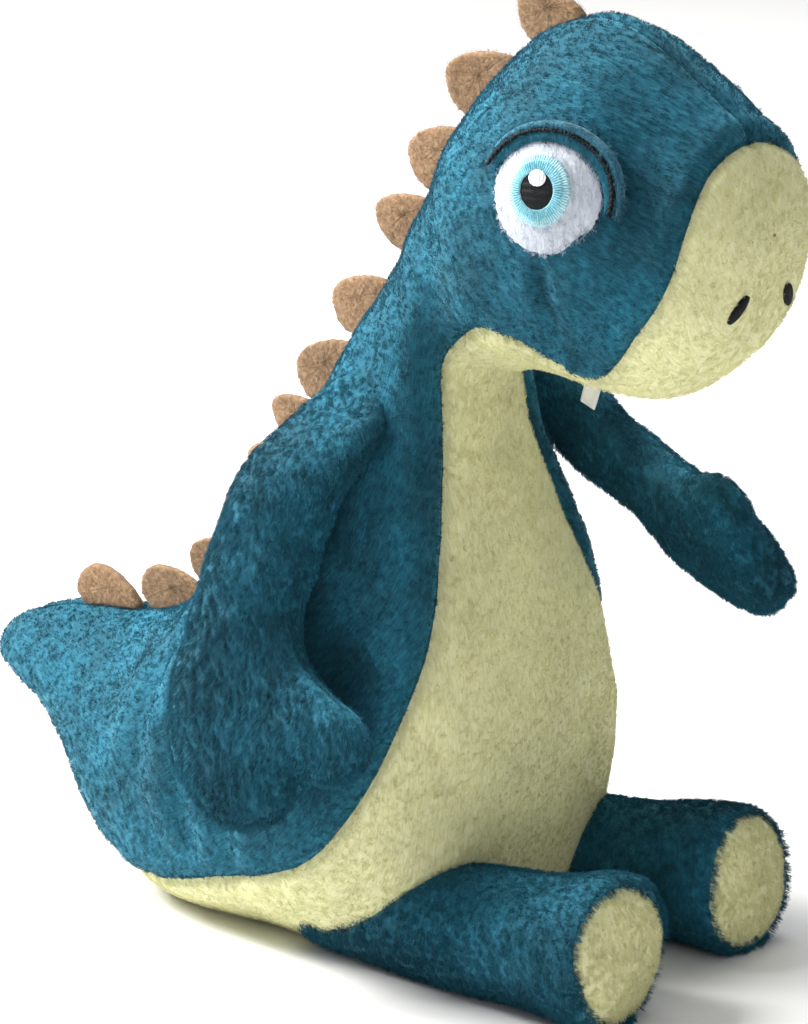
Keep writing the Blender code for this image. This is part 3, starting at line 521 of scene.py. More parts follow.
def surface_fibres(tree, shader, colour, noise, lift, sheen, gloss):
    """Colour, bump (strength, mm) from a noise, and sheen (weight, roughness) of a cloth."""
    tree.links.new(colour, shader.inputs["Base Color"])
    relief_node = add_node(tree, "ShaderNodeBump", Strength=lift[0], Distance=lift[1] * MM)
    tree.links.new(noise.outputs["Fac"], relief_node.inputs["Height"])
    tree.links.new(relief_node.outputs["Normal"], shader.inputs["Normal"])
    shader.inputs["Sheen Weight"].default_value = sheen[0]
    shader.inputs["Sheen Roughness"].default_value = sheen[1]
    shader.inputs["Specular IOR Level"].default_value = gloss


TUFT = (260, 70)  # streaks of the pile per unit of UV, across and along the nap


def plush_material(name, tones, uv=True, sheen=0.35, tint=(1, 1, 1), root=0.72, brushed_sheen_patches=(0.58, 1.4)):
    """Short pile: streaks along the nap, broad brushed areas painted lighter and darker as painted sheen,
    and each strand painted darker towards its root as painted shade.
    """
    material, tree, shader = node_material(name, tones[1], 0.85)
    place = tree.nodes.new("ShaderNodeUVMap" if uv else "ShaderNodeTexCoord")
    if uv:
        place.uv_map = "fabric"
        units = 1
        size = (TUFT[0], TUFT[1], TUFT[0])
    else:
        units = 1 / MM / UV_UNIT
        size = (TUFT[0] * units, TUFT[0] * units, TUFT[1] * units)
    where = place.outputs["UV" if uv else "Object"]
    stretch = tree.nodes.new("ShaderNodeMapping")
    stretch.inputs["Scale"].default_value = size
    tree.links.new(where, stretch.inputs["Vector"])
    streak = add_node(tree, "ShaderNodeTexNoise", Scale=0.5, Detail=3.0, Roughness=0.6, Distortion=0.5)
    tree.links.new(stretch.outputs["Vector"], streak.inputs["Vector"])
    # painted sheen: broad areas of the brushed pile are painted lighter and darker; how the nap lies is
    # real, the light it catches is painted
    patch = add_node(tree, "ShaderNodeTexNoise", Scale=3.6 * units, Detail=3.0, Roughness=0.62)
    tree.links.new(where, patch.inputs["Vector"])
    fine = ramp(tree, streak.outputs["Fac"], zip((0.32, 0.5, 0.68), tones))
    broad = ramp(tree, patch.outputs["Fac"], ((0.36, grey(brushed_sheen_patches[0])), (0.64, grey(brushed_sheen_patches[1]))))
    colour = mix(tree, "MULTIPLY", 0.85, fine, broad)
    strand = tree.nodes.new("ShaderNodeHairInfo")
    # painted shade: each strand is darker towards its root, where the pile shades itself; 'root' sets how
    # dark
    along = ramp(tree, strand.outputs["Intercept"], ((0.0, grey(root)), (0.8, grey(1.1))))
    own = ramp(tree, strand.outputs["Random"], ((0.0, grey(0.9)), (1.0, grey(1.1))))
    for tone in (along, own):
        shade = mix(tree, "MIX", strand.outputs["Is Strand"], grey(1.0), tone)
        colour = mix(tree, "MULTIPLY", 1.0, colour, shade)
    shader.inputs["Sheen Tint"].default_value = (*tint, 1)
    surface_fibres(tree, shader, colour, streak, (0.55, 0.6), (sheen, 0.45), 0.25)
    return material


def fibre_material(name, tones, scale, bump_mm, roughness=0.95, sheen=0.2):
    """Pressed or twisted fibres: speckle of several tones with a fine bump."""
    material, tree, shader = node_material(name, tones[1], roughness)
    place = tree.nodes.new("ShaderNodeTexCoord")
    speck = add_node(tree, "ShaderNodeTexNoise", Scale=scale, Detail=4.0, Roughness=0.7, Distortion=0.8)
    broad = add_node(tree, "ShaderNodeTexNoise", Scale=scale * 0.12, Detail=2.0)
    for node in (speck, broad):
        tree.links.new(place.outputs["Object"], node.inputs["Vector"])
    fine = ramp(tree, speck.outputs["Fac"], zip((0.3, 0.5, 0.7), tones))
    cloud = ramp(tree, broad.outputs["Fac"], ((0.35, grey(0.82)), (0.65, grey(1.15))))
    colour = mix(tree, "MULTIPLY", 0.7, fine, cloud)
    surface_fibres(tree, shader, colour, speck, (0.6, bump_mm), (sheen, 0.5), 0.2)
    return material


# Tones of each stuff, from dark to light.
TEAL_TONES = ((0.004, 0.064, 0.100), (0.008, 0.092, 0.142), (0.018, 0.134, 0.196))
LIME_TONES = ((0.62, 0.61, 0.31), (0.70, 0.69, 0.39), (0.77, 0.76, 0.48))
LID_TONES = ((0.016, 0.10, 0.16), (0.030, 0.15, 0.22), (0.06, 0.21, 0.29))
WHITE_TONES = ((0.46, 0.50, 0.57), (0.55, 0.59, 0.66), (0.66, 0.70, 0.76))
FELT_TONES = ((0.13, 0.075, 0.038), (0.25, 0.150, 0.080), (0.38, 0.25, 0.145))
AQUA_TONES = ((0.12, 0.38, 0.48), (0.25, 0.58, 0.68), (0.5, 0.78, 0.84))
PALE_AQUA_TONES = ((0.3, 0.58, 0.64), (0.45, 0.72, 0.78), (0.65, 0.86, 0.9))
DARK_TONES = ((0.001, 0.0015, 0.002), (0.003, 0.004, 0.005), (0.01, 0.012, 0.015))
GLINT_TONES = ((0.7, 0.73, 0.78), (0.85, 0.87, 0.9), (0.95, 0.96, 0.98))
SATIN_TONES = ((0.74, 0.74, 0.72), (0.84, 0.84, 0.82), (0.92, 0.92, 0.90))

# root: how dark the painted shade at the foot of each strand is
TEAL_PLUSH = dict(tones=TEAL_TONES, sheen=0.35, tint=(0.22, 0.75, 1.0))
LIME_PLUSH = dict(tones=LIME_TONES, sheen=0.2, root=0.95, brushed_sheen_patches=(0.9, 1.06))
THREAD = dict(scale=1500, bump_mm=0.08, roughness=0.5, sheen=0.1)

TEAL = plush_material("teal_plush_pile", **TEAL_PLUSH)
TEAL_LIMB = plush_material("teal_plush_limb", uv=False, **TEAL_PLUSH)
LIME = plush_material("lime_plush_pile", **LIME_PLUSH)
LIME_SOLE = plush_material("lime_plush_sole", uv=False, **LIME_PLUSH)
LID = plush_material("lid_plush_pile", LID_TONES, uv=False, tint=(0.6, 0.85, 1.0))
WHITE = plush_material("white_plush_pile", WHITE_TONES, uv=False, sheen=0.3, root=0.9, brushed_sheen_patches=(0.94, 1.04))
FELT_FIBRES = fibre_material("tan_felt_fibres", FELT_TONES, 900, 0.25)
AQUA_THREAD = fibre_material("aqua_thread_fibres", AQUA_TONES, **THREAD)
AQUA_LIGHT = fibre_material("pale_aqua_thread", PALE_AQUA_TONES, **THREAD)
DARK_THREAD = fibre_material("dark_thread_fibres", DARK_TONES, 1500, 0.08, 0.6, 0.0)
WHITE_THREAD = fibre_material("white_thread_fibres", GLINT_TONES, **THREAD)
SATIN = fibre_material("label_satin_weave", SATIN_TONES, 2500, 0.05, 0.4, 0.1)


# ---- pile

# Ways the pile is brushed: back and down on the sides, down in front, back and down on the muzzle.
NAP_SIDE = (0, 0.5, -0.42)
NAP_FRONT = (0, 0, -0.8)
NAP_MUZZLE = (0, 0.3, -0.6)
PALE_PILE = dict(thick=0.085, per_mm2=1.3)
STRAND_PER_SPEED = 4.0  # length in metres of a strand emitted at 1 m/s
HAIR = dict(
    type="HAIR", use_advanced_hair=True, hair_step=3, render_step=3, display_step=2,
    emit_from="FACE", distribution="RAND", use_emit_random=True, use_modifier_stack=False,
    physics_type="NEWTON", child_type="SIMPLE", child_percent=1, child_radius=0.75 * MM,
    child_roundness=1.0, clump_factor=0.15, clump_shape=0.1, roughness_endpoint=0.3 * MM,
    roughness_2=0.3 * MM, root_radius=1.0, tip_radius=0.35, material=1,
)


def add_pile(item, seed, per_mm2=1.1, length=1.3, lean=(0, 0, -0.8), rise=0.6, children=10,
             thick=0.11, share=0.5, wild=0.25):
    """Short combed hair on the points weighed in the 'pile' group; lengths in mm.

    'share' is how much of the mesh's area that group covers.
    """
    modifier = item.modifiers.new("pile", "PARTICLE_SYSTEM")
    system = modifier.particle_system
    system.seed = seed
    system.vertex_group_density = "pile"
    hair = system.settings
    for key, value in HAIR.items():
        setattr(hair, key, value)
    area = sum(face.area for face in item.data.polygons) / MM**2
    hair.count = int(area * share * per_mm2)
    hair.effector_weights.gravity = 0
    push = length * MM / STRAND_PER_SPEED
    hair.normal_factor = rise * push
    hair.object_align_factor = tuple(c * push for c in lean)
    hair.factor_random = wild * push
    hair.rendered_child_count = children
    hair.radius_scale = thick * MM


def everywhere(item):
    weigh(item, "pile", np.ones(len(item.data.vertices)))


def hand_over(piece, body, nodes):
    """What moves the piece, and which CAD nodes it stands for and hides."""
    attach(piece, body)
    if nodes:
        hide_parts(*nodes)


# ---- body panels

SPLIT = 8.0  # station where the upper skin (to the head) meets the lower one (to the tail)
CHIN = 16.8  # station where the throat panel turns under the jaw
TIP = 0.03  # the skins stop this share of a station short of the tips


def side_panel(side, upper):
    share = warp(84)[None]
    if upper:
        straight = stations(SPLIT, HEAD_ROWS_FROM)[:-1]
        front = muzzle_seam(share[0])
        rows = [np.full(share.shape[1], t) for t in straight]
        rows += [HEAD_ROWS_FROM + (front - HEAD_ROWS_FROM) * q for q in warp(48)]
        t = np.array(rows)
    else:
        t = stations(TIP, SPLIT)[:, None] + 0 * share
    v = belly_seam(t) * share
    if side == "right":
        v = 2 * pi - v
    grid = plush(t, v)
    return shell(f"{'head' if upper else 'body'}_plush_{side}", grid, TEAL)


def muzzle_panel():
    share = warp(64)
    back = muzzle_seam(share)
    t = back + (LAST - TIP - back) * warp(34)[:, None]
    v = belly_seam(t) * share
    left = np.concatenate([t[:, ::-1], t[:, 1:]], axis=1)
    around = np.concatenate([-v[:, ::-1], v[:, 1:]], axis=1)
    grid = plush(left, np.mod(around, 2 * pi))
    return shell("muzzle_plush", grid, LIME)


def under_panel(name, upper):
    if upper:
        throat = stations(SPLIT, CHIN, 175)[:-1]
        t = np.concatenate([throat, stations(CHIN, LAST - TIP, 175)])
    else:
        t = stations(TIP, SPLIT, 175)
    t = t[:, None]
    edge = belly_seam(t)
    v = edge + (2 * pi - 2 * edge) * warp(64)
    grid = plush(t + 0 * v, v)
    return shell(name, grid, LIME)


def build_body():
    pieces = (
        (side_panel("right", True), "head", ("head_side_right", "head_stuffing")),
        (side_panel("left", True), "head", ("head_side_left",)),
        (under_panel("throat_plush", True), "head", ("chin_panel",)),
        (side_panel("right", False), "tail",
         ("body_side_right", "tail_side_right", "torso_stuffing", "tail_stuffing")),
        (side_panel("left", False), "tail", ("body_side_left", "tail_side_left")),
        (under_panel("belly_plush", False), "tail", ("belly_panel", "tail_underside")),
    )
    for seed, (piece, child, nodes) in enumerate(pieces, 1):
        on_side = piece.name.endswith(("right", "left"))
        if on_side:
            add_pile(piece, seed, lean=NAP_SIDE)
        else:
            add_pile(piece, seed, length=0.85, lean=NAP_FRONT, **PALE_PILE)
        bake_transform(piece)
        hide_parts(*nodes)
    muzzle = muzzle_panel()
    add_pile(muzzle, 8, length=0.8, lean=NAP_MUZZLE, **PALE_PILE)
    hand_over(muzzle, "head", ("muzzle_right", "muzzle_left"))


# ---- arms

def smooth_loop(points, per_span):
    """Closed curve through the outline's points."""
    ring = np.array(points, float)
    wide = np.vstack([ring[-4:], ring, ring[:5]])
    return spline(wide, np.arange(0, len(ring), 1 / per_span) + 4)


def arm_axes(side):
    """Directions down the arm, forward and outward for an arm hanging at rest, then swung."""
    sx = -1 if side == "right" else 1
    tilt = radians(SHOULDER_TILT)
    out = np.array([sx * cos(tilt), 0, sin(tilt)])
    down = np.array([sx * sin(tilt), 0, -cos(tilt)])
    ahead = np.array([0, -1.0, 0])
    swing = radians(ARM_SWING[side])
    return down * cos(swing) + ahead * sin(swing), ahead * cos(swing) - down * sin(swing), out


def arm_place(side, points):
    """Arm coordinates (down, forward, out from its middle plane) to the toy's frame."""
    down, ahead, out = arm_axes(side)
    origin = np.array(SHOULDER) * (-1 if side == "right" else 1, 1, 1)
    middle = np.array(ARM_SPINE)
    points = np.asarray(points, float) * ARM_SIZE[side]
    a, b, c = points[..., 0], points[..., 1], points[..., 2]
    line = np.interp(a, middle[:, 0], middle[:, 1])
    turn = radians(ARM_TWIST[side]) * ease(a, TWIST_FROM, TWIST_TO)
    wide = (b - line) * np.cos(turn) + c * np.sin(turn)
    deep = c * np.cos(turn) - (b - line) * np.sin(turn)
    bow = np.array(ARM_BOW, float)
    reach = np.interp(a, bow[:, 0], bow[:, 1])
    return (origin + a[..., None] * down + (line + wide)[..., None] * ahead
            + (deep + reach)[..., None] * out)


def dense(line, per_span=8):
    rows = np.array(line, float)
    at = np.linspace(0, len(rows) - 1, (len(rows) - 1) * per_span + 1)
    return np.array([np.interp(at, range(len(rows)), column) for column in rows.T]).T


def to_mesh(item):
    """Keep the evaluated shape as the object's own mesh."""
    graph = bpy.context.evaluated_depsgraph_get()
    shape = bpy.data.meshes.new_from_object(item.evaluated_get(graph))
    item.modifiers.clear()
    item.data = shape


def remeshed(item, voxel):
    grain = item.modifiers.new("grain", "REMESH")
    grain.mode = "VOXEL"
    grain.voxel_size = voxel * MM
    to_mesh(item)
    even = item.modifiers.new("even", "SMOOTH")
    even.factor = 0.5
    even.iterations = 4
    to_mesh(item)
    item.data.shade_smooth()


def per_point(item, what):
    values = np.zeros(len(item.data.vertices) * 3)
    item.data.vertices.foreach_get(what, values)
    return values.reshape(-1, 3)


def coordinates(item):
    return per_point(item, "co") / MM


def set_coordinates(item, points):
    item.data.vertices.foreach_set("co", (np.asarray(points) * MM).ravel())
    item.data.update()


def distance_to(points, line, block=4000):
    """Distance from each point to the closest point of a line, a block of points at a time."""
    return np.concatenate([
        np.linalg.norm(points[start:start + block, None] - line[None], axis=-1).min(1)
        for start in range(0, len(points), block)
    ])


# Middle of the mitten where the thumb branches off: (down, forward, half thickness).
ARM_LINK = ((80, -11.6, 9.5), (79.5, -4, 9.0), (79, 3, 8.2))


def build_arm(side):
    outline = smooth_loop(ARM_OUTLINE, 6)
    bones = np.concatenate([dense(ARM_SPINE), dense(ARM_LINK), dense(THUMB_SPINE)])
    gap = np.linalg.norm(outline[:, None] - bones[None, :, :2], axis=-1)
    middle = bones[gap.argmin(1)]
    halves = []
    for face, fullness in ((1, 1), (-1, INNER_FACE)):
        rings = []
        for rise in np.radians(np.linspace(0, 90, 10)):
            flat = middle[:, :2] + (outline - middle[:, :2]) * cos(rise)
            height = middle[:, 2] * fullness * sin(rise) + 0.5
            rings.append(np.column_stack([flat, face * height]))
        halves.append(np.array(rings))
    both = np.concatenate([halves[0][::-1], halves[1]])
    faces = grid_faces(*both.shape[:2], True)
    item = add_mesh(f"{side}_arm_plush", arm_place(side, both), faces, [TEAL_LIMB])
    sewn(item, 0.01, split=True)
    remeshed(item, STEP)
    points = coordinates(item)
    edge = arm_place(side, np.column_stack([outline, np.zeros(len(outline))]))
    rise = pressed_seam(distance_to(points, edge), *ARM_PRESS)
    rise += 0.5 * lumps(points + 70, 34) + 0.22 * lumps(points - 30, 13)
    set_coordinates(item, points + per_point(item, "normal") * rise[:, None])
    everywhere(item)
    lean = 0.8 * (0.6 * arm_axes(side)[0] + np.array([0, 0, -0.4]))
    add_pile(item, 21 if side == "right" else 22, share=1.0, lean=tuple(lean))
    nodes = [f"{side}_arm_{part}" for part in ("outer", "inner", "stuffing")]
    hand_over(item, f"{side}_arm", nodes)


# ---- legs

def leg_frame(side):
    hip = Vector(HIP[side])
    along = (Vector(SOLE[side]) - hip).normalized()
    turn = Vector((0, 0, 1)).rotation_difference(along)
    return np.array(turn.to_matrix()), np.array(hip)


def turned(side, profile, sides=96):
    """Rings in mm about a leg's axis through a profile of (along, radius)."""
    turn, hip = leg_frame(side)
    angle = np.linspace(0, 2 * pi, sides, endpoint=False)
    along, radius = np.array(profile, float).T
    local = np.stack([
        radius[:, None] * np.cos(angle),
        radius[:, None] * np.sin(angle),
        along[:, None] + 0 * angle,
    ], -1)
    return local @ turn.T + hip


def finer(profile, step):
    """The same profile with points about one step apart."""
    rows = np.array(profile, float)
    length = np.r_[0, np.cumsum(np.linalg.norm(np.diff(rows, axis=0), axis=1))]
    at = np.linspace(0, length[-1], int(length[-1] / step) + 2)
    return np.column_stack([np.interp(at, length, rows[:, 0]), np.interp(at, length, rows[:, 1])])


def leg_piece(side, name, profile, grain, material, unevenness, shift):
    """A leg's turned piece, with each point's distance along the leg's axis and out from it."""
    item = closed_form(f"{side}_{name}", turned(side, finer(profile, grain)), material)
    settle(item, shift, unevenness)
    turn, hip = leg_frame(side)
    offset = coordinates(item) - hip
    along = offset @ turn[:, 2]
    return item, along, np.linalg.norm(offset - along[:, None] * turn[:, 2], axis=1)


def build_leg(side):
    seed = 31 if side == "right" else 32
    item, along, radius = leg_piece(side, "leg_plush", LEG_PROFILE, 1.5, TEAL_LIMB, 0.6, seed)
    tube = (along < 89.6) & (radius > 4)
    mouth = radius > 16.6  # the rim that is tucked in round the sole
    weigh(item, "pile", tube | mouth)
    lean = 0.64 * leg_frame(side)[0][:, 2] + np.array([0, 0, -0.25])
    add_pile(item, seed, share=1.0, lean=tuple(lean))
    hand_over(item, f"{side}_leg", (f"{side}_leg_tube", f"{side}_leg_stuffing"))


def build_sole(side):
    dome = [(SOLE_SEAT + SOLE_RISE * cos(a), SOLE_RADIUS * sin(a)) for a in np.linspace(0, pi / 2, 18)]
    dome += [(SOLE_SEAT - 1.0, 16.6), (SOLE_SEAT - 0.8, 0.0)]
    shift = 35 if side == "right" else 36
    pad, along, _ = leg_piece(side, "sole_plush", dome, 1.1, LIME_SOLE, 0.35, shift)
    weigh(pad, "pile", along > SOLE_SEAT)
    add_pile(pad, 35, share=0.55, length=0.85, lean=(0, -0.1, -0.7), **PALE_PILE)
    hand_over(pad, f"{side}_leg", (f"{side}_sole_pad",))


def settle(item, shift, amount):
    """Uneven stuffing, and a flattened underside where the piece lies on the floor."""
    points = coordinates(item)
    rise = amount * lumps(points + shift, 36) + 0.3 * amount * lumps(points - shift, 12)
    points = points + per_point(item, "normal") * rise[:, None]
    z = points[:, 2]
    points[:, 2] = np.where(z < 1.2, 0.65 + 0.45 * np.maximum(z, -1), z)
    set_coordinates(item, points)


# ---- face

def on_plush(at, across, above, lift):
    """Points over the plush, at given offsets in the plane that touches the skin at a place."""
    centre, normal = surface(at[0], radians(at[1])), outward(at[0], radians(at[1]))
    top = np.array([0, 0, 1.0]) - normal * normal[2]
    top /= np.linalg.norm(top)
    right = np.cross(top, normal)
    t = np.full(np.shape(across), float(at[0]))
    v = np.full(np.shape(across), radians(at[1]))
    step = 1e-4
    for _ in range(12):
        error = surface(t, v) - centre
        ea, eb = error @ right - across, error @ top - above
        dt = (surface(t + step, v) - surface(t, v)) / step
        dv = (surface(t, v + step) - surface(t, v)) / step
        a, b, c, d = dt @ right, dv @ right, dt @ top, dv @ top
        det = a * d - b * c
        t = t - (d * ea - b * eb) / det
        v = v - (a * eb - c * ea) / det
    return surface(t, v) + outward(t, v) * (relief(t, v) + lift)[..., None]


def mirror(points, side):
    points = np.array(points)
    if side == "right":
        points[..., 0] *= -1
    return points


def round_patch(side, name, centre, radii, height, foot, material, oval=(1, 1), sides=192, ragged=1.0):
    """Embroidered or padded round by the eye, whose edge is 'foot' mm above the plush.

    height(share of the radius, angle) says how far its face stands over the plush.
    """
    angle = np.linspace(0, 2 * pi, sides, endpoint=False)
    share = np.linspace(0, 1, 22) if radii[0] else np.sqrt(np.linspace(0, 1, 26))
    reach = radii[0] + (radii[1] - radii[0]) * share
    wobble = 1 + ragged * (0.010 * np.sin(37 * angle + 1) + 0.008 * np.sin(61 * angle))
    r = reach[:, None] * np.where(share[:, None] > 0.99, wobble, 1)
    across = centre[0] + r * np.cos(angle) * oval[0]
    above = centre[1] + r * np.sin(angle) * oval[1]
    top = on_plush(EYE_AT, across, above, height(share[:, None] + 0 * angle, angle + 0 * r))
    low = np.full((1, sides), foot)
    rows = [top, on_plush(EYE_AT, across[-1:], above[-1:], low)]
    if radii[0]:
        rows += [on_plush(EYE_AT, across[:1], above[:1], low), top[:1]]
    return closed_form(f"{side}_{name}", mirror(np.concatenate(rows), side), material)


EYE_SHIFT = (0.9, 1.0)  # centres of the iris and the glint from that of the white patch
GLINT_SHIFT = (0.9, 3.8)
WHITE_RADIUS = 13.9
RIM_RADII = (6.4, 8.0)
IRIS_RADII = (4.2, 6.7)
PUPIL_RADIUS = 4.6
GLINT_RADIUS = 1.95
IRIS_OVAL = (0.96, 1.03)
STITCH_FOOT = 0.8  # where the stitched rounds end, above the plush
LID_ARC = (22, 192)
BAND_ARC = (20, 194)
LASH = dict(stitches=64, half_angle=2.2, radius=0.42, lift=2.5)
LID_RADII = (15.0, 17.9)
BAND_RADII = (12.6, 15.3)
LID_OVAL = (1.10, 0.98)  # the lid follows an oval, wider than it is tall
# Cross-sections of the lid and of the strip inside it: (share of the width, height).
LID_ROLL = ((0.0, -0.6), (0.0, 1.7), (0.12, 2.4), (0.30, 3.0), (0.5, 3.2), (0.7, 2.9), (0.88, 2.1),
            (1.0, 0.8), (1.04, -0.6))
BAND_ROLL = ((0.0, -0.6), (0.0, 1.4), (0.3, 2.1), (0.7, 2.3), (1.0, 2.3), (1.0, -0.6))


def arc_roll(side, name, radii, arc, profile, material, steps=72):
    """Band round the eye between two radii, thinner towards both ends."""
    share, height = np.array(profile).T
    middle, width = (radii[0] + radii[1]) / 2, radii[1] - radii[0]
    rows = []
    for k, angle in enumerate(np.radians(np.linspace(*arc, steps))):
        grow = max(sin(pi * (k + 0.15) / (steps - 0.7)), 0.0) ** 0.55
        r = middle + (share - 0.5) * width * grow
        x, y = LID_OVAL[0] * r * cos(angle), LID_OVAL[1] * r * sin(angle)
        rows.append(on_plush(EYE_AT, x, y, height * (0.35 + 0.65 * grow)))
    return closed_form(f"{side}_{name}", mirror(np.array(rows), side), material)


def cushion(share, angle):
    return 1.9 - 1.5 * share**2.2


def spokes(count, base, rise, fall):
    """Height of stitches that run outwards across a ring."""
    def height(share, angle):
        fade = np.minimum(1, 6 * np.minimum(share + 0.05, 1.02 - share))
        return base - fall * share + rise * np.abs(np.sin(count * angle / 2)) * fade
    return height


def pupil_stitches(share, angle):
    return 2.9 - 0.3 * share**3 + 0.16 * np.abs(np.sin(9.5 * share * np.sin(angle)))


def glint_stitches(share, angle):
    return 3.35 - 0.25 * share**3 + 0.14 * np.abs(np.sin(7 * share * np.cos(angle)))


def build_eye(side):
    white = round_patch(side, "eye_white_plush", (0, 0), (0, WHITE_RADIUS), cushion, -1.0, WHITE)
    rim = round_patch(side, "iris_edge", EYE_SHIFT, RIM_RADII, spokes(76, 2.35, 0.4, 0.3),
                      STITCH_FOOT, AQUA_LIGHT, IRIS_OVAL, 600, 1.5)
    iris = round_patch(side, "iris_thread", EYE_SHIFT, IRIS_RADII, spokes(64, 2.75, 0.45, 0.2),
                       STITCH_FOOT, AQUA_THREAD, IRIS_OVAL, 480, 2.5)
    pupil = round_patch(side, "pupil_thread", EYE_SHIFT, (0, PUPIL_RADIUS), pupil_stitches, STITCH_FOOT,
                        DARK_THREAD, (0.95, 1.05), 192, 4.0)
    glint = round_patch(side, "glint_thread", GLINT_SHIFT, (0, GLINT_RADIUS), glint_stitches,
                        STITCH_FOOT, WHITE_THREAD, (1.05, 0.95))
    lid = arc_roll(side, "lid_plush", LID_RADII, LID_ARC, LID_ROLL, LID)
    band = arc_roll(side, "lid_band", BAND_RADII, BAND_ARC, BAND_ROLL, TEAL_LIMB)
    for piece in (white, lid, band):
        everywhere(piece)
    add_pile(white, 41, length=0.6, per_mm2=1.4, lean=(0, 0, -0.5), rise=0.7, thick=0.09)
    add_pile(lid, 43, share=0.8, length=1.2, per_mm2=1.0, lean=(0, 0, -0.4), rise=0.7, thick=0.1)
    add_pile(band, 44, share=0.8, length=0.9, per_mm2=1.0, lean=(0, 0, -0.5), thick=0.09)
    pieces = (
        (white, "eye_white", "white_plush", 0.7), (iris, "eye_iris", "aqua_thread", None),
        (rim, None, "aqua_thread", None), (pupil, "eye_pupil", "dark_thread", None),
        (glint, "eye_glint", "white_plush", None),
        (lid, "eyelid", "lid_plush", 0.7), (band, None, "teal_plush", 0.7),
        (lash_line(side), "lash_line", "dark_thread", None),
    )
    for piece, node, slot, fill in pieces:
        hand_over(piece, "head", [f"{side}_{node}"] if node else [])


def lash_line(side, sections=7, sides=8):
    """Row of short overlapping stitches along the lid's inner edge."""
    points, faces = [], []
    turns = np.linspace(0, 2 * pi, sides, endpoint=False)
    arc = np.radians(np.linspace(LID_ARC[0] + 1, LID_ARC[1] - 1, LASH["stitches"]))
    for k, angle in enumerate(arc):
        slant = 0.35 if k % 2 else -0.1
        base = len(points)
        for place in np.linspace(-1, 1, sections):
            a = angle + radians(LASH["half_angle"]) * place
            thick = LASH["radius"] * sqrt(max(1 - place**2, 0)) + 0.05
            r = LID_RADII[0] + slant * place + thick * np.cos(turns)
            x, y = LID_OVAL[0] * r * cos(a), LID_OVAL[1] * r * sin(a)
            points.extend(on_plush(EYE_AT, x, y, LASH["lift"] + thick * np.sin(turns)))
        faces += [tuple(base + i for i in face) for face in grid_faces(sections, sides, True)]
        faces.append(tuple(base + i for i in reversed(range(sides))))
        faces.append(tuple(base + (sections - 1) * sides + i for i in range(sides)))
    item = add_mesh(f"{side}_lash_thread", mirror(points, side), faces, [DARK_THREAD])
    sewn(item, 0.0)
    return item


def build_nostril(side, sides=160):
    lean = radians(NOSTRIL_LEAN)
    angle = np.linspace(0, 2 * pi, sides, endpoint=False)
    share = np.sqrt(np.linspace(0, 1, 20))[:, None]
    x, y = share * NOSTRIL_HALF[0] * np.cos(angle), share * NOSTRIL_HALF[1] * np.sin(angle)
    across, above = x * cos(lean) - y * sin(lean), x * sin(lean) + y * cos(lean)
    height = 1.0 - 0.5 * share**4 + 0.16 * np.abs(np.sin(6.0 * x)) + 0 * angle
    top = on_plush(NOSTRIL_AT, across, above, height)
    floor = on_plush(NOSTRIL_AT, across[-1:], above[-1:], np.full((1, sides), -0.8))
    rings = mirror(np.concatenate([top, floor]), side)
    piece = closed_form(f"{side}_nostril_thread", rings, DARK_THREAD)
    hand_over(piece, "head", [f"{side}_nostril"])


# ---- spines and label

# Felt from its middle out to its edge: share of the outline's size, share of the thickness.
FELT_EDGE = ((0.02, 1), (0.3, 1), (0.55, 1), (0.75, 1), (0.88, 0.97), (0.95, 0.85), (0.985, 0.6),
             (1.0, 0.2))
TAIL_SPINES = 2  # the first ones ride on the tail, those up to TORSO_SPINES on the torso
TORSO_SPINES = 8


def build_spine(index, first, last, height):
    t = np.linspace(first, last, 5)
    base = surface(t, 0.0)[:, 1:]
    normal = outward(t, 0.0)[:, 1:]
    share, rise = np.array(SPINE_LEAF).T
    chord = base[-1] - base[0]
    up = np.array([-chord[1], chord[0]]) / np.linalg.norm(chord)
    if up @ normal[2] < 0:
        up = -up
    leaf = base[0] + share[:, None] * chord + rise[:, None] * height * 1.04 * up
    edge = spline(leaf, np.linspace(0, len(leaf) - 1, 60))
    root = spline((base - normal * 1.4)[::-1], np.linspace(0, 4, 26))[1:-1]
    outline = np.vstack([edge, root])
    count = len(outline)
    core = base.mean(0) + up * height * 0.42
    chance = np.random.default_rng(100 + index)
    lean, curl = chance.uniform(-0.9, 0.9), chance.uniform(-0.6, 0.6)
    outline = outline + (outline - core) * (0.012 * chance.normal(size=(count, 1)))
    rows = []
    for sign, order in ((1, FELT_EDGE), (-1, FELT_EDGE[::-1])):
        for s, thick in order:
            flat = core + (outline - core) * s
            above = (flat - base.mean(0)) @ up / height
            x = sign * thick * FELT / 2 + lean * above**2 + curl * above * (s - 0.5)
            x = x + 0.05 * chance.normal(size=count)
            rows.append(np.column_stack([x, flat]))
    item = closed_form(f"felt_spine_{index:02d}", np.array(rows), FELT_FIBRES)
    everywhere(item)
    add_pile(item, 60 + index, share=1.0, length=0.55, per_mm2=1.2, children=4, lean=(0, 0, 0),
             rise=0.5, thick=0.05, wild=0.9)
    body = "tail" if index <= TAIL_SPINES else "torso" if index <= TORSO_SPINES else "head"
    hand_over(item, body, [f"spine_{index:02d}"])


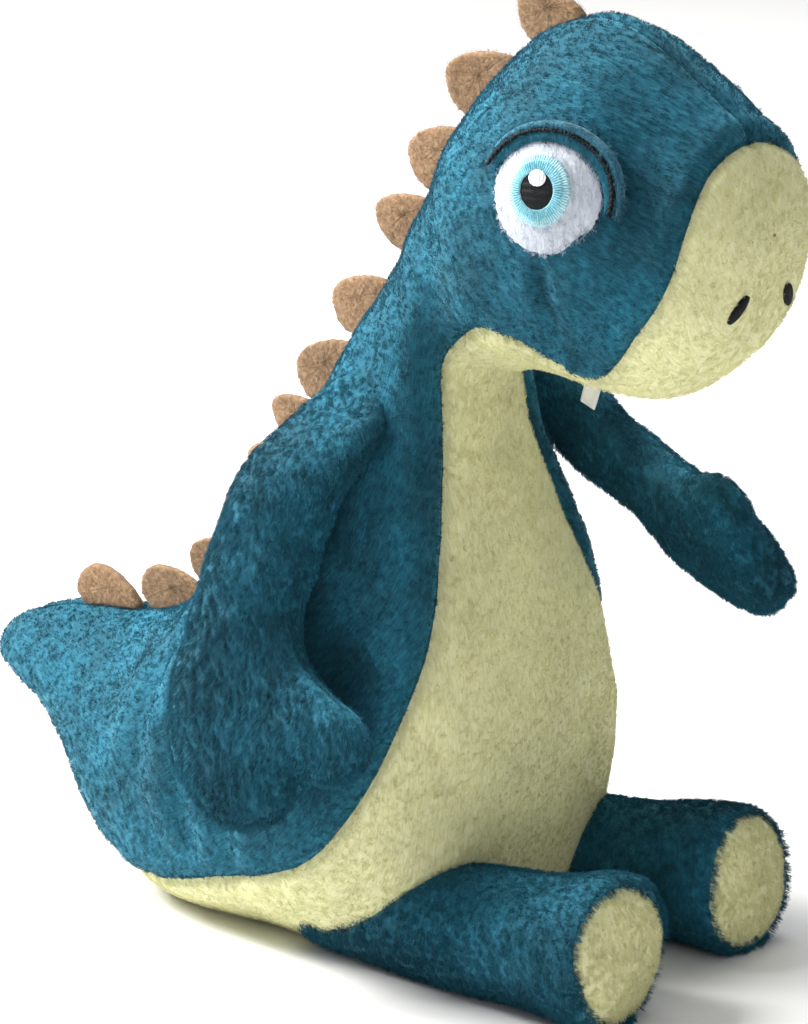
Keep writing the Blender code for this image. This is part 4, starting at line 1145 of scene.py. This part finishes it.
def build_label():
    """Blank care label, folded double and sewn into the jaw seam on the left."""
    low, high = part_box("care_label")
    centre = np.array((low + high) / 2) / MM
    half, hidden = 10.5, 3.0  # half length, and how far it goes on into the jaw
    half_width, half_depth = 2.25, 0.55
    rows = []
    for turn in np.linspace(0, 2 * pi, 40, endpoint=False):
        along = np.sign(cos(turn)) * abs(cos(turn)) ** 0.35 * (half + hidden / 2)
        bow = 0.7 * cos(along / (half + hidden / 2) * pi / 2)
        deep = half_depth * sin(turn) + bow
        rows.append([(deep + 0.15 * sin(0.8 * w), w, along + hidden / 2)
                     for w in np.linspace(-half_width, half_width, 10)])
    ring = np.transpose(np.array(rows), (1, 0, 2))
    lean, tip = radians(-12), radians(20)
    spin = np.array([[cos(lean), 0, sin(lean)], [0, 1, 0], [-sin(lean), 0, cos(lean)]])
    spin = spin @ np.array([[1, 0, 0], [0, cos(tip), -sin(tip)], [0, sin(tip), cos(tip)]])
    item = closed_form("blank_label", ring @ spin.T + centre, SATIN)
    hand_over(item, "head", ["care_label"])


# ---- stage

VIEW_FROM = (-52, 16)  # azimuth and elevation of the camera in degrees
AIM = (-8.6, 1.5, 110.4)
DISTANCE = 1200
LENS = 168.75  # focal length in mm for a sensor 36 mm wide
FLOOR_HALF = 3000
# Lamps: name, metres across, above and behind the aim, size, watts, colour.
LAMPS = (
    ("key", (-0.95, 1.0, 0.05), 0.65, 58.0, (1.0, 0.99, 0.97)),
    ("fill", (0.2, 0.5, 1.4), 1.0, 2.2, (0.95, 0.98, 1.0)),
    ("top", (0.1, 1.4, -0.3), 0.9, 9.0, (1.0, 1.0, 1.0)),
)


def build_stage():
    azimuth, elevation = (radians(angle) for angle in VIEW_FROM)
    right = Vector((cos(azimuth), sin(azimuth), 0))
    back = Vector((sin(azimuth) * cos(elevation), -cos(azimuth) * cos(elevation), sin(elevation)))
    up = back.cross(right)
    aim = Vector(AIM) * MM
    camera = bpy.data.objects.new("camera", bpy.data.cameras.new("camera"))
    camera.data.lens = LENS
    camera.data.sensor_width = 36
    camera.data.clip_start = 0.01
    camera.location = aim + back * DISTANCE * MM
    camera.rotation_mode = "QUATERNION"
    camera.rotation_quaternion = back.to_track_quat("Z", "Y")
    bpy.context.scene.collection.objects.link(camera)
    bpy.context.scene.camera = camera

    corners = [(FLOOR_HALF * x, FLOOR_HALF * y, 0) for x, y in ((-1, -1), (1, -1), (1, 1), (-1, 1))]
    floor = add_mesh("floor", corners, [(0, 1, 2, 3)], [])
    paper, _, shader = node_material("pale_floor", (0.80, 0.80, 0.80), 0.9)
    shader.inputs["Specular IOR Level"].default_value = 0.1
    floor.data.materials.append(paper)

    for name, (across, above, behind), size, power, colour in LAMPS:
        lamp = bpy.data.lights.new(name, "AREA")
        lamp.size = size
        lamp.energy = power
        lamp.color = colour
        item = bpy.data.objects.new(name, lamp)
        item.location = aim + right * across + up * above + back * behind
        item.rotation_mode = "QUATERNION"
        item.rotation_quaternion = (item.location - aim).to_track_quat("Z", "Y")
        bpy.context.scene.collection.objects.link(item)
    world = bpy.data.worlds.new("studio")
    world.use_nodes = True
    light = world.node_tree.nodes["Background"]
    light.inputs["Color"].default_value = (1, 1, 1, 1)
    light.inputs["Strength"].default_value = 0.36
    bpy.context.scene.world = world
    bpy.context.scene.view_settings.view_transform = "Standard"


# ---- build

build_stage()
build_body()
for side in ("right", "left"):
    build_arm(side)
    build_leg(side)
    build_sole(side)
    build_eye(side)
    build_nostril(side)
for number, (first, last, height) in enumerate(SPINES, 1):
    build_spine(number, first, last, height)
build_label()
